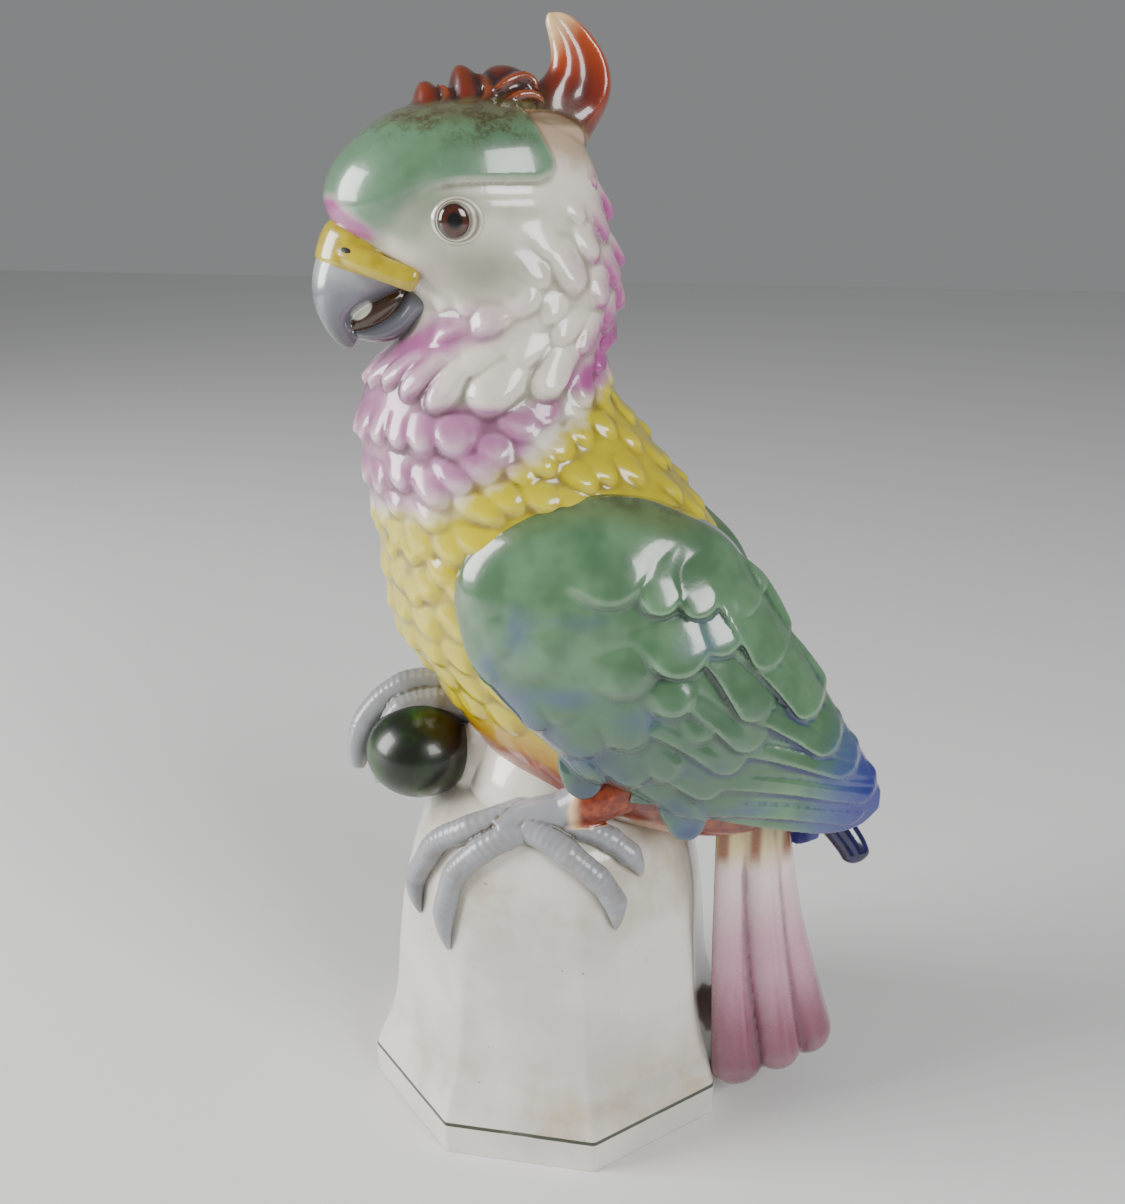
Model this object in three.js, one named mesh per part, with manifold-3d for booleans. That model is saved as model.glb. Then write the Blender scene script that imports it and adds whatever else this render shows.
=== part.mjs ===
// A slip-cast porcelain parrot on an eight-sided pedestal, clasping a green nut in its raised foot.
// Millimetres, +Z up. The bird looks along -X and its left side is towards -Y.
// The origin is the middle of the pedestal's underside.
import * as THREE from "three";
import { mergeVertices } from "three/addons/utils/BufferGeometryUtils.js";
import Module from "manifold-3d";

const wasm = await Module();
wasm.setup();

const degree = Math.PI / 180;

// The pedestal: [height, corner radius, roundness from 0 (octagon) to 1 (circle)].
const pedestal = [
  [0, 70.8, 0],
  [11.6, 70.8, 0],
  [18, 68.6, 0],
  [26, 64.9, 0],
  [38, 62, 0],
  [60, 60.1, 0.04],
  [80, 57.6, 0.3],
  [93, 54.4, 0.6],
  [104, 50.6, 0.85],
  [114, 45.5, 1],
  [121, 36, 1],
  [124.5, 24, 1],
];
const mound = { at: [2, -3, 121], size: [34, 33, 30] }; // the white rise under the belly

// The body, neck and head: [height, front x, back x, half width, turn of the head in degrees].
const body = [
  [110, 46, 78, 14, 0],
  [115, 22, 82, 25, 0],
  [123, -3, 83, 33, 0],
  [135, -22, 81.5, 38, 0],
  [150, -34, 79, 42, 0],
  [167, -44.5, 75, 45, 0],
  [181, -55, 70.5, 46.5, 0],
  [200, -59.5, 62, 46.5, 0],
  [218, -62, 55, 45.5, 0],
  [229, -63.5, 48, 44.5, 0],
  [240, -65.5, 39, 42.5, 0],
  [253, -66.5, 28.5, 39.5, 1],
  [263, -64.5, 20, 37, 4],
  [272, -60, 17, 35, 8],
  [279, -54.5, 17.5, 33.5, 12],
  [286, -48, 19, 32, 16],
  [294, -46, 20.5, 31, 20],
  [302, -52, 21, 30.5, 22],
  [310, -61, 19.5, 30, 23],
  [318, -68, 17.5, 29.5, 23],
  [326, -71, 15.5, 29, 23],
  [334, -68.5, 13.5, 27.5, 23],
  [342, -61.5, 9.5, 25, 23],
  [349, -52.5, 5, 20.5, 23],
  [354, -43, 0, 14.5, 23],
  [357.5, -31, -8, 6, 23],
];
const neckX = -18; // the head turns about this upright line
const headTurn = 23;
// The smooth cap stands proud of the face: [share of its height, thickness].
const cap = [
  [0, 0],
  [0.05, 2.2],
  [0.3, 2.5],
  [0.52, 2.2],
  [0.76, 1.6],
  [1, 0.6],
];
const capBearing = 52; // where it ends behind
const capEdge = 331.5;
const capDip = 10; // how far its edge comes down over the forehead
const crownTop = 357.5;

// Rows of feathers round the body, from the lowest up, laid like tiles:
// [height, half width of the row in degrees, its middle's bearing, thickness, depth of the scallops].
const featherRows = [
  [184, 62, 180, 2, 6],
  [202, 70, 180, 2.2, 6.5],
  [220, 180, 180, 2.4, 7],
  [236, 180, 180, 2.8, 7],
  [251, 180, 180, 3.2, 8],
  [267, 180, 180, 3.8, 9],
  [282, 180, 0, 3, 6.5],
  [294.5, 152, 0, 2.8, 6.5],
  [306, 92, 0, 3, 7],
  [318, 62, 0, 3, 7],
  [330, 40, 0, 2.6, 6],
];
const feathersRound = 12;
const featheredFrom = 166;
const rowSlant = 3.5; // a row runs lower at the nape than at the throat
const sunk = new THREE.Vector3(0.94, 0.94, 1); // draws a ring in under the skin above it

// The beak, in the turned head: [outer x, outer z, inner x, inner z, half width].
const upperBeak = [
  [-57, 322, -38, 301, 12.5],
  [-71.5, 318.5, -44.5, 299.5, 13],
  [-76.3, 309, -52.5, 297, 12],
  [-78.5, 300, -59.8, 294, 10],
  [-78, 293, -65, 291, 7.8],
  [-76, 287.6, -67, 288, 5.4],
  [-73.4, 283.2, -66, 285, 3.8],
  [-70.6, 280.3, -65.2, 281.9, 2.4],
  [-67.6, 279, -66, 279.8, 0.9],
];
const lowerBeak = [
  [-42, 298, -38, 288, 10],
  [-48.2, 295.8, -44.5, 288, 9.6],
  [-52.4, 289.7, -49.5, 283.4, 8.6],
  [-57, 286.3, -55.5, 281, 7.4],
  [-62, 285.2, -61, 281.2, 5.6],
  [-65.8, 285.4, -65.4, 282.4, 3],
];
const mouth = { at: [-55.5, 0, 291.3], size: [14, 6, 5.6], tilt: -33 };
const cere = [
  [-57, 323.2, -38, 301.5, 13.4],
  [-71.8, 319.3, -44.2, 300.5, 13.9],
  [-76.9, 309.4, -46.8, 298.4, 13],
  [-75.5, 308.8, -47.5, 298.6, 11],
]; // the waxy band over the beak's root
// The eye's place, and the radius and depth of its ball and of the ring round it.
const eye = { x: -35.6, z: 319.8, out: 27.2, ball: [5.4, 4.2], ring: [7.6, 2.6] };

// The crest, in the turned head: [front x, front z, back x, back z, half width].
const tallPlume = [
  [-12, 352, 8, 336, 8],
  [-7, 358, 13, 345, 7.8],
  [-1.8, 362.6, 17.6, 352.4, 7.2],
  [0.2, 366.4, 19.8, 359.6, 6.4],
  [0.8, 370, 18.4, 367, 5.4],
  [0.5, 373.4, 13.4, 374, 4.4],
  [-0.4, 377, 7.6, 379, 3],
  [0.2, 380, 3, 380.9, 1.2],
];
// Small plumes on the crown: [foot x, foot z, tip x, tip z, half length, half width].
const smallPlumes = [
  [-49, 348, -46.5, 354.5, 5, 6],
  [-43, 350, -41.5, 360, 5, 7],
  [-34, 352, -29.6, 364.6, 6, 8],
  [-20, 353, -18, 363.6, 10, 9.5],
];

// A folded wing, from shoulder to tip: [x, low z, low y, high z, high y, furthest y, thickness].
const wing = [
  [-24, 194, 40, 212, 40, 44.5, 10],
  [-20, 182, 41, 219, 41.5, 48.5, 14],
  [-10, 169.5, 41, 227.5, 41, 52.5, 18],
  [2, 157.5, 41, 234.5, 38, 54.5, 22],
  [18, 144, 40, 238, 34, 54.5, 24],
  [34, 138, 40, 236.6, 30, 52, 24],
  [48, 131.5, 38, 231, 27, 48, 22],
  [62, 127.5, 35, 222, 23, 42.5, 18],
  [75, 124, 31, 203, 20, 36.5, 13],
  [88, 120.5, 26, 183, 17, 30, 10],
  [101, 118, 20, 161, 14.5, 23.5, 8],
  [111, 119.5, 15, 144, 12.5, 17, 7],
  [117, 125, 12, 132, 12, 13, 5],
];
// Feathers of the wing: [root x, root share, tip x, tip share, half width], shares up the chord.
const coverts = [
  [4, 0.68, 27, 0.56, 11.5],
  [26, 0.78, 45, 0.6, 10],
  [42, 0.82, 61, 0.68, 9.5],
  [46, 0.66, 66, 0.52, 9.5],
  [30, 0.58, 51, 0.42, 10],
  [12, 0.4, 34, 0.22, 10],
  [32, 0.34, 51, 0.15, 10],
  [15, 0.1, 20.5, -0.06, 6.5],
  [50, 0.1, 56.5, -0.07, 6],
  [54, 0.48, 76, 0.4, 9],
];
const quills = [
  [62, 0.84, 88, 0.88, 6.5],
  [66, 0.7, 100, 0.84, 6.5],
  [66, 0.52, 109, 0.74, 6.5],
  [62, 0.34, 115, 0.5, 6.5],
  [54, 0.16, 113, 0.22, 6],
];
const farWing = { droop: 12, about: [0, 205], sink: 3 }; // the far wing hangs lower
const farTip = [
  [84, 18, 118],
  [100, 13, 108],
  [110, 9, 98],
  [113, 7, 92],
];

// Tail feathers from the side to the middle: a path from root to tip, the half width at each
// end, and the thickness. The far side mirrors them, and the middle one stands alone.
const tailFeathers = [
  { root: [67, 11, 120], bend: [69.5, 14, 62], tip: [74.5, 19.5, 9], half: [6, 9.5], thick: 6.5 },
  { root: [75, 8, 120], bend: [81, 11, 66], tip: [89, 14, 14], half: [7.5, 9.5], thick: 7.5 },
  { root: [79, 0, 120], bend: [86, 0, 72], tip: [100, 0, 14], half: [8, 12], thick: 10.5 },
];
const tailStations = [0, 0.3, 0.6, 0.8, 0.93, 0.98, 1];
const tailTaper = 0.93; // the share of its length where a feather's end rounds off
const tailCore = [[73, 0, 126], [76, 0, 80], [86, 0, 22]]; // fills the fan behind its feathers
const tailCoreRadii = [11, 14];

// The standing foot: its shin, and toes as bearings and heights on the pedestal, ankle first.
const shin = [[34, -26, 138], [22, -33, 132], [10, -35, 125]];
const shinRadii = [12, 6];
const toes = [
  { at: [[-80, 124], [-100, 122], [-119, 116.5], [-132, 109.5], [-138, 100], [-143, 91]],
    claw: [-140.5, 78] },
  { at: [[-84, 121], [-103, 116], [-114, 108.5], [-119.5, 101], [-121.5, 88]], claw: [-119.6, 74] },
  { at: [[-92, 119.5], [-80, 117], [-70, 112], [-61.5, 105], [-56.5, 97]], claw: [-56, 87] },
  { at: [[-84, 121], [-68, 120], [-55, 116.5], [-47.5, 111]], claw: [-42.5, 102.5] },
];
const toeRadius = 4.7;
const clawRadii = [3.4, 0.7];
const thighs = [
  { at: [38, -21, 141], size: [25, 17, 16] },
  { at: [14, 16, 147], size: [26, 17, 15] },
];

const nut = { at: [-47, -15, 134], size: [19.3, 18.5, 16.9] };
// The raised foot: paths of its toes round the nut.
const raisedToes = [
  [[-24, 6, 148], [-38, 3, 156], [-50, 0, 156.5], [-61, -3, 152], [-69.5, -6, 144],
    [-74, -9, 134], [-74.5, -11, 123]],
  [[-28, 12, 147], [-44, 11, 149], [-57, 9, 144], [-64, 5, 135], [-67, 0, 124], [-66, -6, 114]],
  [[-26, 0, 145], [-37, -3, 149.5], [-48, -6, 151.5], [-57, -10, 148], [-64, -14, 139]],
];
const leg = [[-4, 6, 150], [-20, 6, 154], [-34, 5, 157]];
const legRadii = [11, 7];

const glaze = new THREE.MeshStandardMaterial({ color: 0xd8d2c4, roughness: 0.12, metalness: 0 });

// Values between the rows of a table, smoothly, at a given first column.
function between(rows, key) {
  let i = 0;
  while (i < rows.length - 2 && key > rows[i + 1][0]) i += 1;
  const step = rows[i + 1][0] - rows[i][0];
  const s = Math.min(Math.max((key - rows[i][0]) / step, 0), 1);
  const slope = (j, k) => {
    const a = rows[Math.max(j - 1, 0)];
    const b = rows[Math.min(j + 1, rows.length - 1)];
    return (b[k] - a[k]) / (b[0] - a[0]);
  };
  return rows[i].map((value, k) => {
    const rise = rows[i + 1][k] - value;
    const m0 = slope(i, k) * step;
    const m1 = slope(i + 1, k) * step;
    return value + s * (m0 + s * (3 * rise - 2 * m0 - m1 + s * (m0 + m1 - 2 * rise)));
  });
}

function solid(geometry) {
  geometry.deleteAttribute("normal");
  geometry.deleteAttribute("uv");
  const merged = mergeVertices(geometry, 1e-3);
  const vertProperties = merged.attributes.position.array;
  const make = (index) =>
    new wasm.Manifold(new wasm.Mesh({ numProp: 3, vertProperties, triVerts: new Uint32Array(index) }));
  const made = make(merged.index.array);
  return made.volume() > 0 ? made : make(merged.index.array.toReversed());
}

// A closed skin over rings of points, each end closed to its middle.
function loft(rings) {
  const count = rings[0].length;
  const middle = (ring) =>
    ring.reduce((sum, p) => sum.add(p), new THREE.Vector3()).divideScalar(count);
  const points = [...rings.flat(), middle(rings[0]), middle(rings.at(-1))];
  const index = [];
  const first = points.length - 2;
  const last = points.length - 1;
  const end = (rings.length - 1) * count;
  for (let j = 0; j < count; j += 1) {
    const next = (j + 1) % count;
    index.push(first, next, j, last, end + j, end + next);
    for (let i = 0; i < rings.length - 1; i += 1) {
      const a = i * count;
      const b = a + count;
      index.push(a + j, a + next, b + next, a + j, b + next, b + j);
    }
  }
  const geometry = new THREE.BufferGeometry().setFromPoints(points);
  geometry.setIndex(index);
  return solid(geometry);
}

const ring = (count, at) =>
  Array.from({ length: count }, (_, j) => at((j / count) * 2 * Math.PI, j));

function oval({ at, size, tilt = 0 }, around = 12, bands = 8) {
  const geometry = new THREE.SphereGeometry(1, around, bands);
  geometry.scale(...size);
  geometry.rotateY(tilt * degree);
  geometry.translate(...at);
  return solid(geometry);
}

// A limb along points, with a radius at each end, flattened towards `flat`.
function limb(path, radii, sides = 7, steps = 7, flat = null, thin = 1) {
  const curve = new THREE.CatmullRomCurve3(path.map((p) => new THREE.Vector3(...p)));
  const rings = [];
  const even = (count) => Array.from({ length: count + 1 }, (_, i) => i / count);
  for (const s of Array.isArray(steps) ? steps : even(steps)) {
    const spot = curve.getPoint(s);
    const along = curve.getTangent(s);
    const out = (flat ?? new THREE.Vector3(0, 1, 0.3)).clone();
    out.addScaledVector(along, -out.dot(along)).normalize();
    const side = new THREE.Vector3().crossVectors(along, out);
    const radius = typeof radii === "function" ? radii(s) : THREE.MathUtils.lerp(...radii, s);
    rings.push(
      ring(sides, (turn) =>
        spot
          .clone()
          .addScaledVector(side, radius * Math.cos(turn))
          .addScaledVector(out, radius * thin * Math.sin(turn)),
      ),
    );
  }
  return loft(rings);
}

const turned = (x, y, z, turn) => {
  const a = turn * degree;
  const dx = x - neckX;
  return new THREE.Vector3(
    neckX + dx * Math.cos(a) - y * Math.sin(a),
    dx * Math.sin(a) + y * Math.cos(a),
    z,
  );
};

// A point of the body's skin at a height and a bearing in radians from its back.
function onBody(z, bearing) {
  const [, front, back, half, turn] = between(body, z);
  const x = (front + back) / 2 + ((back - front) / 2) * Math.cos(bearing);
  return turned(x, half * Math.sin(bearing), z, turn);
}

// The pedestal's radius at a height and a bearing in radians.
function onPedestal(z, bearing) {
  const [, corner, round] = between(pedestal, z);
  const eighth = Math.PI / 4;
  const off = ((bearing % eighth) + eighth * 1.5) % eighth - eighth / 2;
  const flat = (corner * Math.cos(eighth / 2)) / Math.cos(off);
  const radius = THREE.MathUtils.lerp(flat, corner, round);
  return new THREE.Vector3(radius * Math.cos(bearing), radius * Math.sin(bearing), z);
}

function makePedestal() {
  const sides = 24; // every third one falls on a corner of the octagon
  const start = 7.5 * degree;
  const rings = pedestal.map(([z]) => ring(sides, (turn) => onPedestal(z, turn + start)));
  return loft(rings).add(oval(mound, 12, 6));
}

function makeTorso() {
  const rows = body.filter(([z]) => z < featheredFrom);
  const rings = rows.map(([z]) => ring(16, (turn) => onBody(z, turn)));
  rings.push(ring(16, (turn) => onBody(featheredFrom + 6, turn).multiply(sunk)));
  return loft(rings);
}

// Degrees between a bearing and the back.
const fromBack = (turn) => Math.abs(((turn / degree + 900) % 360) - 180);

// The height of the cap's edge at a bearing.
const browLine = (turn) =>
  capEdge - capDip * THREE.MathUtils.smoothstep(fromBack(turn), 112, 176);

// The plumage: each row starts flush with the row above and ends in a scalloped, proud edge.
function makePlumage() {
  const around = feathersRound * 4;
  const level = (z) => ring(around, (turn) => onBody(z, turn));
  const outwards = (z, bearing) => {
    const along = onBody(z, bearing + 0.03).sub(onBody(z, bearing - 0.03));
    return new THREE.Vector3(along.y, -along.x, 0).normalize();
  };
  const rings = [level(featheredFrom)];
  featherRows.forEach(([z, span, middle, thick, depth], row) => {
    const edge = (rise, proud, flat, dip) =>
      ring(around, (turn, j) => {
        const place = j / 4 + (row % 2) / 2;
        const lobe = Math.round(place);
        const full = Math.cos(Math.PI * (place - lobe)) ** 0.6;
        const off = fromBack(turn - middle * degree);
        const fade = THREE.MathUtils.smoothstep(span + 8 - off, 0, 16);
        const uneven = 1 + 0.25 * Math.sin(5.1 * row + 2.3 * (lobe % feathersRound));
        const slant = rowSlant * Math.cos(turn) * THREE.MathUtils.smoothstep(z, 220, 260);
        const laid = z + rise - slant * fade - depth * dip * full * uneven * fade;
        const height = Math.min(laid, browLine(turn) - 1 + 0.2 * rise);
        const spot = onBody(height, turn);
        const stand = thick * proud * (flat + (1 - flat) * full) * fade;
        return spot.addScaledVector(outwards(height, turn), stand);
      });
    rings.push(edge(-0.6, -0.05, 1, 1), edge(0.8, 1, 0.3, 1));
  });
  for (const [share, thick] of cap) {
    rings.push(
      ring(around, (turn) => {
        const z = THREE.MathUtils.lerp(browLine(turn), crownTop, share);
        const stand = thick * THREE.MathUtils.smoothstep(fromBack(turn), capBearing - 8, capBearing + 8);
        return onBody(z, turn).addScaledVector(outwards(z, turn), stand);
      }),
    );
  }
  return loft(rings);
}

// A flattened loft between an outer and an inner edge, in the turned head.
function headLoft(rows, sides = 8) {
  return loft(
    rows.map(([x0, z0, x1, z1, half]) =>
      ring(sides, (turn) => {
        const s = (1 + Math.cos(turn)) / 2;
        const x = THREE.MathUtils.lerp(x1, x0, s);
        const z = THREE.MathUtils.lerp(z1, z0, s);
        return turned(x, half * Math.sin(turn), z, headTurn);
      }),
    ),
  );
}

function makeHead() {
  const disc = (side, [radius, deep], around) =>
    oval({ at: [eye.x, side * eye.out, eye.z], size: [radius, deep, radius] }, around, 4);
  const eyes = [-1, 1].flatMap((side) => [disc(side, eye.ring, 10), disc(side, eye.ball, 8)]);
  const pieces = [oval(mouth, 8, 5), ...eyes].map((piece) =>
    piece.translate([-neckX, 0, 0]).rotate([0, 0, headTurn]).translate([neckX, 0, 0]),
  );
  const plumes = smallPlumes.map(([x0, z0, x1, z1, long, wide]) =>
    headLoft(
      [[0, 1], [0.55, 0.9], [1, 0.3]].map(([s, full]) => {
        const x = THREE.MathUtils.lerp(x0, x1, s);
        const z = THREE.MathUtils.lerp(z0, z1, s);
        return [x - long * full, z, x + long * full, z, wide * full];
      }),
      7,
    ),
  );
  const lofted = [upperBeak, lowerBeak, cere, tallPlume].map((rows) => headLoft(rows));
  return [...pieces, ...plumes, ...lofted];
}

// A point of a folded wing's outer face: x along it and a share up its chord.
function onWing(x, share) {
  const [, lowZ, lowY, highZ, highY, far] = between(wing, x);
  const edge = THREE.MathUtils.lerp(lowY, highY, share);
  const swell = Math.sqrt(Math.max(1 - (2 * share - 1) ** 2, 0));
  return new THREE.Vector3(
    x,
    -(edge + (far - edge) * swell),
    THREE.MathUtils.lerp(lowZ, highZ, share),
  );
}

function wingFeather([x0, s0, x1, s1, half], thick, stations) {
  const sides = 5;
  const path = [0, 0.5, 1].map((s) => {
    const spot = onWing(THREE.MathUtils.lerp(x0, x1, s), THREE.MathUtils.lerp(s0, s1, s));
    spot.y += thick * (1.3 - 1.2 * s);
    return spot.toArray();
  });
  const shape = (s) => half * Math.sqrt(Math.max(1 - (2 * Math.max(s, 0.5) - 1) ** 4, 0.04));
  return limb(path, shape, sides, stations, new THREE.Vector3(0.25, -1, 0.1), thick / half);
}

function makeWing() {
  const rings = wing.map(([x, , lowY, , highY, , thick]) => {
    const outer = Array.from({ length: 8 }, (_, j) => onWing(x, j / 7));
    const inner = [0.85, 0.5, 0.15].map((share) => {
      const spot = onWing(x, share);
      spot.y = -Math.max(-spot.y - thick, Math.min(lowY, highY) - thick * 0.8, 4);
      return spot;
    });
    return [...outer, ...inner];
  });
  return [
    loft(rings),
    ...coverts.map((row) => wingFeather(row, 2.6, [0, 0.6, 0.88, 1])),
    ...quills.map((row) => wingFeather(row, 3, [0, 0.45, 0.85, 1])),
  ];
}

function makeWings() {
  const near = wasm.Manifold.union(makeWing());
  const [x, z] = farWing.about;
  const far = near
    .mirror([0, 1, 0])
    .translate([-x, 0, -z])
    .rotate([0, farWing.droop, 0])
    .translate([x, 0, z - farWing.sink]);
  return [near, far, limb(farTip, [7, 4.6], 8, 5, new THREE.Vector3(0, 1, 0), 0.7)];
}

function makeTail() {
  const made = [];
  for (const { root, bend, tip, half, thick } of tailFeathers) {
    const sides = root[1] ? [-1, 1] : [1];
    for (const side of sides) {
      const path = [root, bend, tip].map(([x, y, z]) => [x, y * side, z]);
      const rounded = (s) => Math.max(0, (s - tailTaper) / (1.005 - tailTaper));
      const shape = (s) => THREE.MathUtils.lerp(...half, s * s) * Math.sqrt(1 - rounded(s) ** 2);
      const out = new THREE.Vector3(root[1] ? 0.5 : 1, root[1] ? side : 0, 0.2);
      made.push(limb(path, shape, 6, tailStations, out, thick / half[1]));
    }
  }
  made.push(limb(tailCore, tailCoreRadii, 8, 4, new THREE.Vector3(1, 0, 0.2), 0.75));
  return made;
}

function makeStandingFoot() {
  const made = [limb(shin, shinRadii, 8, 3), ...thighs.map((thigh) => oval(thigh, 9, 5))];
  for (const { at, claw } of toes) {
    const lift = ([bearing, z], rise) => {
      const spot = onPedestal(z, bearing * degree);
      const out = new THREE.Vector3(spot.x, spot.y, 26).normalize();
      return spot.addScaledVector(out, rise).toArray();
    };
    const path = at.map((spot) => lift(spot, toeRadius * 0.4));
    const out = new THREE.Vector3(path[2][0], path[2][1], 40).normalize();
    made.push(limb(path, [toeRadius * 1.1, toeRadius * 0.9], 6, 4, out, 0.9));
    made.push(limb([path.at(-1), lift(claw, 0.6)], clawRadii, 6, 2, out, 1));
  }
  return made;
}

function makeRaisedFoot() {
  return [
    limb(leg, legRadii, 8, 3),
    ...raisedToes.map((path) => limb(path, (s) => toeRadius * (1 - 0.74 * s ** 5), 6, 5)),
    oval(nut, 11, 7),
  ];
}

const parrot = wasm.Manifold.union([
  makePedestal(),
  makeTorso(),
  makePlumage(),
  ...makeHead(),
  ...makeWings(),
  ...makeTail(),
  ...makeStandingFoot(),
  ...makeRaisedFoot(),
]);

function meshOf(name, shape, material) {
  const { vertProperties, triVerts } = shape.getMesh();
  const geometry = new THREE.BufferGeometry();
  geometry.setAttribute("position", new THREE.BufferAttribute(vertProperties, 3));
  geometry.setIndex(new THREE.BufferAttribute(triVerts, 1));
  geometry.computeVertexNormals();
  const mesh = new THREE.Mesh(geometry, material);
  mesh.name = name;
  return mesh;
}

const figurine = new THREE.Group();
figurine.add(meshOf("parrot_figurine", parrot, glaze));

export default figurine;
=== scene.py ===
import math

import bpy
import numpy as np
from mathutils import Matrix, Vector
from mathutils.bvhtree import BVHTree


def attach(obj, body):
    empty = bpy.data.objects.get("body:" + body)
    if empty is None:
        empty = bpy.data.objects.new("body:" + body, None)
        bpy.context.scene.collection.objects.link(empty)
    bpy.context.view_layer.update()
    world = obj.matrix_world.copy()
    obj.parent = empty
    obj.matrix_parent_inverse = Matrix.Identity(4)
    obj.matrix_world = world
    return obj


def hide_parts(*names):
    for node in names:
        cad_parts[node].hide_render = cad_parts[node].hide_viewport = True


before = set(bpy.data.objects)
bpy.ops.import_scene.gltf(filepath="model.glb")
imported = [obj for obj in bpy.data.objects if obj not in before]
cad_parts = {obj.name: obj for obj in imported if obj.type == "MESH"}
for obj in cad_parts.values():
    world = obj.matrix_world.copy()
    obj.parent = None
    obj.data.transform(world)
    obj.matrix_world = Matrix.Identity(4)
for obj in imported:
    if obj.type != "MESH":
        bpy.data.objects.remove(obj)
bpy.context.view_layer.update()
print("frame loaded")

# Shapes are worked out in millimetres, in the part's own frame, and made in metres:
# +Z is up, the bird looks along -X and the side that shows is towards -Y.
mm = 0.001
node = "parrot_figurine"


def deselectAll():
    if bpy.context.mode != "OBJECT":
        bpy.ops.object.mode_set(mode="OBJECT")
    bpy.ops.object.select_all(action="DESELECT")


def pick(piece):
    deselectAll()
    piece.select_set(True)
    bpy.context.view_layer.objects.active = piece
    return piece


def smoothstep(low, high, value):
    s = np.clip((np.asarray(value, float) - low) / (high - low), 0, 1)
    return s * s * (3 - 2 * s)


def lerp(a, b, s):
    return a + (b - a) * s


# A bell that is 1 at a place and falls off over about a width
def bell(value, at, wide):
    return np.exp(-((value - at) / wide) ** 2)


# The share of its width that a rounded end keeps while `run` goes from 0 to 1
def roundEnd(run):
    return np.sqrt(np.clip(1 - np.maximum(run, 0) ** 2, 0.0004, 1))


# Values between the rows of a table, smoothly, at given first columns.
def between(rows, key):
    table = np.asarray(rows, float)
    keys = table[:, 0]
    key = np.clip(np.asarray(key, float), keys[0], keys[-1])
    i = np.clip(np.searchsorted(keys, key, side="right") - 1, 0, len(keys) - 2)
    span = (keys[i + 1] - keys[i])[..., None]
    s = (key - keys[i])[..., None] / span
    before = np.maximum(np.arange(len(keys)) - 1, 0)
    after = np.minimum(np.arange(len(keys)) + 1, len(keys) - 1)
    slope = (table[after] - table[before]) / (keys[after] - keys[before])[:, None]
    m0 = slope[i] * span
    m1 = slope[i + 1] * span
    rise = table[i + 1] - table[i]
    return table[i] + s * (m0 + s * (3 * rise - 2 * m0 - m1 + s * (m0 + m1 - 2 * rise)))


# Rows drawn finer: the table read at evenly spread steps from its first row to its last.
def finer(rows, count):
    numbered = [[i, *row] for i, row in enumerate(rows)]
    return between(numbered, np.linspace(0, len(rows) - 1, count))[:, 1:]


def faceOut(piece):
    pick(piece)
    bpy.ops.object.mode_set(mode="EDIT")
    bpy.ops.mesh.select_all(action="SELECT")
    bpy.ops.mesh.normals_make_consistent(inside=False)
    bpy.ops.object.mode_set(mode="OBJECT")
    return piece


# A closed skin over rings of points, each end closed to its middle.
def skin(name, rings):
    rings = np.asarray(rings, float)
    rows, around = rings.shape[:2]
    points = np.concatenate([rings.reshape(-1, 3), rings[0].mean(0)[None], rings[-1].mean(0)[None]])
    a = np.arange(rows - 1)[:, None] * around + np.arange(around)[None]
    b = np.arange(rows - 1)[:, None] * around + (np.arange(around)[None] + 1) % around
    quads = np.stack([a, b, b + around, a + around], -1).reshape(-1, 4)
    here = np.arange(around)
    there = (here + 1) % around
    first = np.stack([np.full(around, rows * around), there, here], -1)
    end = (rows - 1) * around
    last = np.stack([np.full(around, rows * around + 1), end + here, end + there], -1)
    mesh = bpy.data.meshes.new(name)
    mesh.from_pydata((points * mm).tolist(), [], quads.tolist() + first.tolist() + last.tolist())
    piece = bpy.data.objects.new(name, mesh)
    bpy.context.scene.collection.objects.link(piece)
    return faceOut(piece)


def ringOf(count):
    return np.arange(count) / count * 2 * math.pi


# A ball drawn out to a size at a place, from a sphere
def ball(name, at, size, tilt=0, around=48):
    deselectAll()
    bpy.ops.mesh.primitive_uv_sphere_add(segments=around, ring_count=around // 2, radius=mm)
    piece = bpy.context.object
    piece.name = name
    turn = Matrix.Rotation(math.radians(tilt), 4, "Y")
    piece.data.transform(Matrix.Translation(Vector(at) * mm) @ turn @ Matrix.Diagonal((*size, 1)))
    return piece


# A limb along points, flattened towards `flat`; radius(s, turn) is its section, and s runs
# from 0 at its root to 1 at its tip
def limb(name, path, radius, sides, steps, flat=(0, 1, 0.3), thin=1.0):
    s = np.linspace(0, 1, steps + 1)
    spots = finer(path, steps + 1)
    along = np.gradient(spots, axis=0)
    along /= np.linalg.norm(along, axis=1)[:, None]
    out = np.array(flat, float)[None] - (along @ np.array(flat, float))[:, None] * along
    out /= np.linalg.norm(out, axis=1)[:, None]
    side = np.cross(along, out)
    turn = ringOf(sides)
    reach = radius(s[:, None], turn[None]) + 0 * turn[None]
    rings = (spots[:, None]
             + side[:, None] * (reach * np.cos(turn))[..., None]
             + out[:, None] * (reach * thin * np.sin(turn))[..., None])
    return skin(name, rings)


# A section that grows or shrinks evenly from one end's radius to the other's
def tapered(first, last):
    return lambda s, turn: lerp(first, last, s)


def joined(name, pieces):
    pick(pieces[0])
    for piece in pieces:
        piece.select_set(True)
    bpy.ops.object.join()
    piece = bpy.context.object
    piece.name = name
    piece.data.name = name
    return piece


# How the pieces are cast: [voxel in millimetres, rounds of smoothing, most triangles]
casting = {
    "bird": [0.85, 3, 195000], "near_wing": [0.75, 3, 125000], "tail": [0.8, 3, 60000],
    "standing_foot": [0.5, 2, 80000], "raised_foot": [0.55, 2, 60000], "beak": [0.5, 2, 50000],
}


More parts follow.
